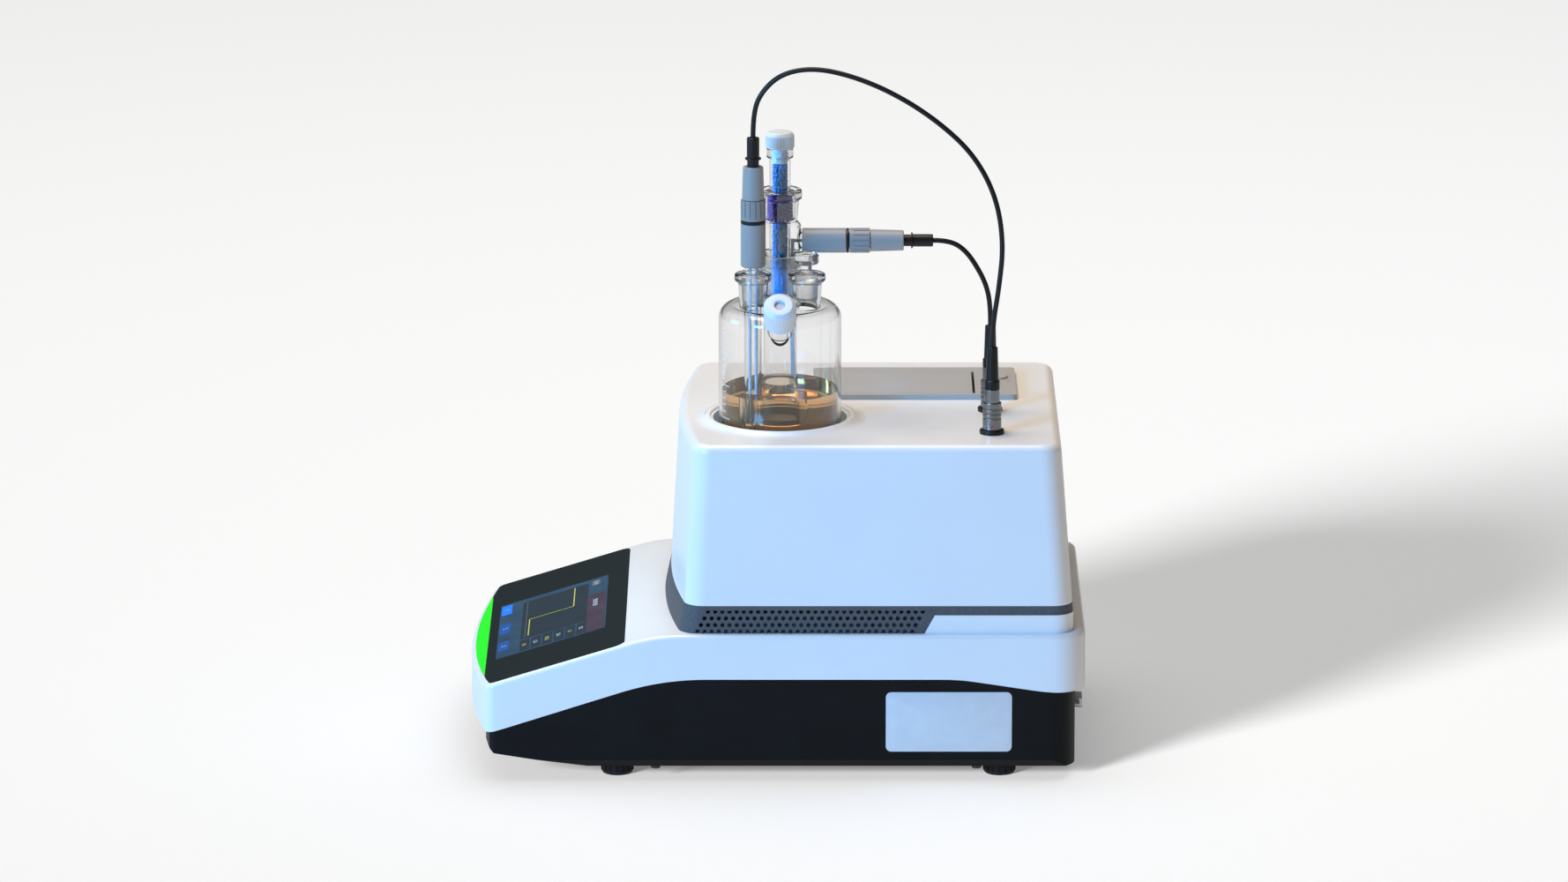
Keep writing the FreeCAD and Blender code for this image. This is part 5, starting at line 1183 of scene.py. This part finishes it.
@dataclass
class Band:
    """The grained band with its four rows of round vents each side."""

    low: Plan = BAND_FOOT
    high: Plan = Plan(NOSE + 151.5, TAIL - 10, HALF - 7, BOW, 15.0, 15.0)
    bottom: float = 114.0
    top: float = 135.0
    wall: float = 2.2
    vent_radius: float = 1.6
    pitch: float = 5.33
    row_pitch: float = 5.05
    rows: int = 4
    per_row: int = 31

    def build(self) -> None:
        """Builds the band, cut round the seat and through its vents."""
        levels: list[Level] = [
            (self.low.inset(self.wall), lambda x: self.bottom), (self.low, lambda x: self.bottom),
            (self.high, lambda x: self.top), (self.high.inset(self.wall), lambda x: self.top)]
        verts, faces = ring_shell(levels)
        band = finish_mesh("grained_band", verts, faces, BAND_GREY, "root")
        carve(band, [seat_block(TAIL + 5, 128), self._vents()])
        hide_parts("vent_band")

    def _vents(self) -> tuple[list, list]:
        """Gives all the vent holes as round pins through both sides.

        Returns:
            Points in millimetres and faces.
        """
        verts, faces = [], []
        sides = 16
        for row in range(self.rows):
            for i in range(self.per_row):
                x = NOSE + 180.5 - self.pitch / 2 * row + self.pitch * i
                z = 130.6 - self.row_pitch * row
                first = len(verts)
                for y in (-HALF, HALF):
                    for k in range(sides):
                        a = 2 * math.pi * k / sides
                        verts.append((x + self.vent_radius * math.cos(a), y, z + self.vent_radius * math.sin(a)))
                faces += hoop(first, first + sides, sides)
                faces += [tuple(range(first, first + sides)), tuple(range(first + sides, first + 2 * sides))]
        return verts, faces


def ring_shell(levels: Sequence[Level]) -> tuple[list, list]:
    """Builds a closed hoop through outlines that come back to the first one.

    Args:
        levels: Outlines with their height as a function of x.

    Returns:
        Points in millimetres and faces.
    """
    verts, rings = stacked(levels)
    faces = []
    count = len(rings[0])
    for low, high in zip(rings, rings[1:] + rings[:1]):
        faces += hoop(low[0], high[0], count)
    return verts, faces


# Drying tube filling


@dataclass
class Beads:
    """Loose indicating beads in the drying tube."""

    x: float = TUBE_AXIS[0]
    y: float = TUBE_AXIS[1]
    low: float = 348.0
    high: float = 447.0
    wide_low: float = 406.5
    wide_high: float = 425.0
    narrow: float = 6.1
    wide: float = 9.9
    size: float = 2.7

    def build(self) -> None:
        """Packs the beads in rings, blue in the tube and indigo in its wide part."""
        rng = random.Random(7)
        blue: tuple[list, list] = ([], [])
        indigo: tuple[list, list] = ([], [])
        z = self.low + self.size / 2
        while z < self.high:
            wide = self.wide_low < z < self.wide_high
            reach = self.wide if wide else self.narrow
            layer = reach - self.size / 2
            while layer > 0.4:
                count = max(int(2 * math.pi * layer / (self.size * 0.97)), 1)
                turn = rng.random() * math.pi
                for k in range(count):
                    a = turn + 2 * math.pi * k / count
                    lift = rng.uniform(-0.5, 0.5)
                    self._bead(indigo if wide else blue, layer * math.cos(a), layer * math.sin(a), z + lift, rng)
                layer -= self.size * 0.95
                if layer < reach - self.size * 2:
                    break
            z += self.size * 0.86
        for store, low, high, reach in ((blue, self.low, self.wide_low, self.narrow),
                                        (indigo, self.wide_low, self.wide_high, self.wide),
                                        (blue, self.wide_high, self.high - 1.5, self.narrow)):
            self._core(store, low, high, reach - self.size * 0.85)
        piece = finish_mesh("blue_beads", *blue, BEAD_BLUE, "drying_tube", 60)
        finish_mesh("indigo_beads", *indigo, BEAD_INDIGO, "drying_tube", 60)
        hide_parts("desiccant")

    def _core(self, store: tuple[list, list], low: float, high: float, radius: float) -> None:
        """Fills the middle of the column, where no single bead is seen.

        Args:
            store: Points and faces to add to.
            low: Height of its foot.
            high: Height of its top.
            radius: Its radius.
        """
        verts, faces = turned_points([(0, low), (radius, low), (radius, high), (0, high)],
                                     Axis((self.x, self.y, 0.0)), 32)
        first = len(store[0])
        store[0].extend(verts)
        store[1].extend(tuple(first + i for i in face) for face in faces)

    def _bead(self, store: tuple[list, list], dx: float, dy: float, z: float, rng: random.Random) -> None:
        """Adds one lumpy bead.

        Args:
            store: Points and faces to add to.
            dx: Offset from the tube's axis.
            dy: Offset from the tube's axis.
            z: Height.
            rng: Source of its unevenness.
        """
        verts, faces = store
        first = len(verts)
        work = BEAD_FORM
        turn = Matrix.Rotation(rng.uniform(0, 6.28), 3, "Z") @ Matrix.Rotation(rng.uniform(0, 6.28), 3, "X")
        scale = self.size / 2 * rng.uniform(0.88, 1.04)
        for v in work[0]:
            p = turn @ (Vector(v) * scale * rng.uniform(0.93, 1.04))
            verts.append((self.x + dx + p.x, self.y + dy + p.y, z + p.z))
        faces += [tuple(first + i for i in f) for f in work[1]]


def unit_ball() -> tuple[list, list]:
    """Gives the points and faces of a small round ball of radius 1."""
    work = bmesh.new()
    bmesh.ops.create_icosphere(work, subdivisions=2, radius=1)
    verts = [tuple(v.co) for v in work.verts]
    faces = [tuple(v.index for v in f.verts) for f in work.faces]
    work.free()
    return verts, faces


BEAD_FORM = unit_ball()


# Caps and small trims on the cell


@dataclass
class CellTrims:
    """Knurled caps, graduations and the like."""

    port: Axis = Axis((3.0, -83.8, 328.8), tilt=40.5)

    def build(self) -> None:
        """Builds each trim."""
        end, length, radius = 40.35, 21.0, 12.2
        low = end - length
        cap = turned("needle_cap", [
            (9.8, low), (radius, low, 0.6), (radius, end - 2.6, 0.5), (radius - 2.9, end, 1.4), (4.6, end, 0.5),
            (4.0, end - 0.7), (4.0, end - 2.2), (9.8, end - 2.2)], self.port, FITTING_WHITE_PAINTED_BLUE_LIGHT, "injection_cap", 200,
            Ribs(50, 0.42, low + 0.8, end - 3.4, 0.5, radius - 0.2))
        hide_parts("injection_cap")
        top = 472.3
        threads = [point for z in (450.0, 452.6, 455.2, 457.8)
                   for point in ((5.7, z), (6.4, z + 0.5), (6.4, z + 1.5), (5.7, z + 2.0))]
        drying = turned("vent_cap", [
            (0, 448.6), (5.7, 448.6, 0.5), *threads, (5.7, 460.3), (10.75, 460.3, 0.8), (10.75, top - 2.6, 0.8),
            (8.9, top, 1.4), (0, top + 0.05)], Axis((*TUBE_AXIS, 0.0)), FITTING_WHITE_PAINTED_BLUE_LIGHT, "drying_cap", 224,
            Ribs(28, 0.55, 461.2, top - 3.4, 0.5, 10.5))
        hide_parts("drying_cap")
        self._graduations()

    def _graduations(self) -> None:
        """Prints the level marks on the vessel's left side."""
        verts, faces = [], []
        for i, z in enumerate(range(262, 332, 5)):
            long = 13 if i % 5 == 0 else 7
            start = math.radians(202)
            self._bar(verts, faces, start, start + math.radians(long), z)
        finish_mesh("level_marks", verts, faces, MARK_WHITE, "cell", 40)

    def _bar(self, verts: list, faces: list, start: float, end: float, z: float) -> None:
        """Adds a thin bar that follows the vessel's wall.

        Args:
            verts: Points to add to.
            faces: Faces to add to.
            start: First angle.
            end: Last angle.
            z: Height.
        """
        steps = 8
        first = len(verts)
        for k in range(steps + 1):
            a = start + (end - start) * k / steps
            for r, h in ((46.02, z), (46.12, z), (46.12, z + 0.55), (46.02, z + 0.55)):
                verts.append((CELL_AXIS[0] + r * math.cos(a), CELL_AXIS[1] + r * math.sin(a), h))
        for k in range(steps):
            faces += hoop(first + 4 * k, first + 4 * k + 4, 4)
        faces += [tuple(range(first, first + 4)), tuple(range(first + 4 * steps, first + 4 * steps + 4))]


@dataclass
class TopTrims:
    """Marks on the printer panel and dots on the plugs."""

    def build(self) -> None:
        """Builds the marks, dots and the flare of the well's rim."""
        turned("well_flare", [(56.45, 256.8), (56.45, 259.75), (57.4, 259.35), (58.6, 258.55), (60.0, 257.85),
                              (61.8, 257.35), (64.2, 257.06), (64.2, 256.8)],
               Axis((*CELL_AXIS, 0.0)), COVER_WHITE, "root", 160)
        for i, (x, y, wide) in enumerate(((157.5, 88, 4.5), (157.5, 30, 4.5), (175, 52, 3.0))):
            verts, faces = block((x, y, 261.0), (x + wide, y + 0.7, 261.06))
            finish_mesh(f"panel_mark_{i}", verts, faces, MARK_DARK, "root")
        for name, y in (("measuring_dot", MEASURING_Y), ("generator_dot", GENERATOR_Y)):
            body = name.replace("_dot", "_sleeve")
            turned(name, [(0, -0.3), (1.1, -0.3), (1.1, 0.12, 0.1), (0, 0.2)],
                   Axis((PLUG_X, y - 7.0, 263.5), Facing.ALONG_Y), DOT_RED, body, 24)


def dress_nodes(nodes: dict) -> None:
    """Gives every CAD node that is shown its finish.

    Args:
        nodes: The frame's nodes by name.
    """
    for name, finish in NODE_FINISHES.items():
        if name in nodes:
            finish.dress(nodes[name])
            nodes[name].visible_shadow = finish.clear < 1.0 or finish is AMBER
            LOG.info("%s finished as %s", name, finish.name)


def main() -> None:
    """Builds the scene round the frame."""
    logging.basicConfig(level=logging.INFO, format="%(message)s")
    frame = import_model()
    bpy.context.scene.view_settings.view_transform = "Standard"
    Studio().build()
    for lead in leads():
        lead.build()
    dress_nodes(frame["nodes"])
    Base().build()
    BaseTrims().build()
    Screen().build()
    Band().build()
    Beads().build()
    CellTrims().build()
    TopTrims().build()


if __name__ == "__main__":
    main()
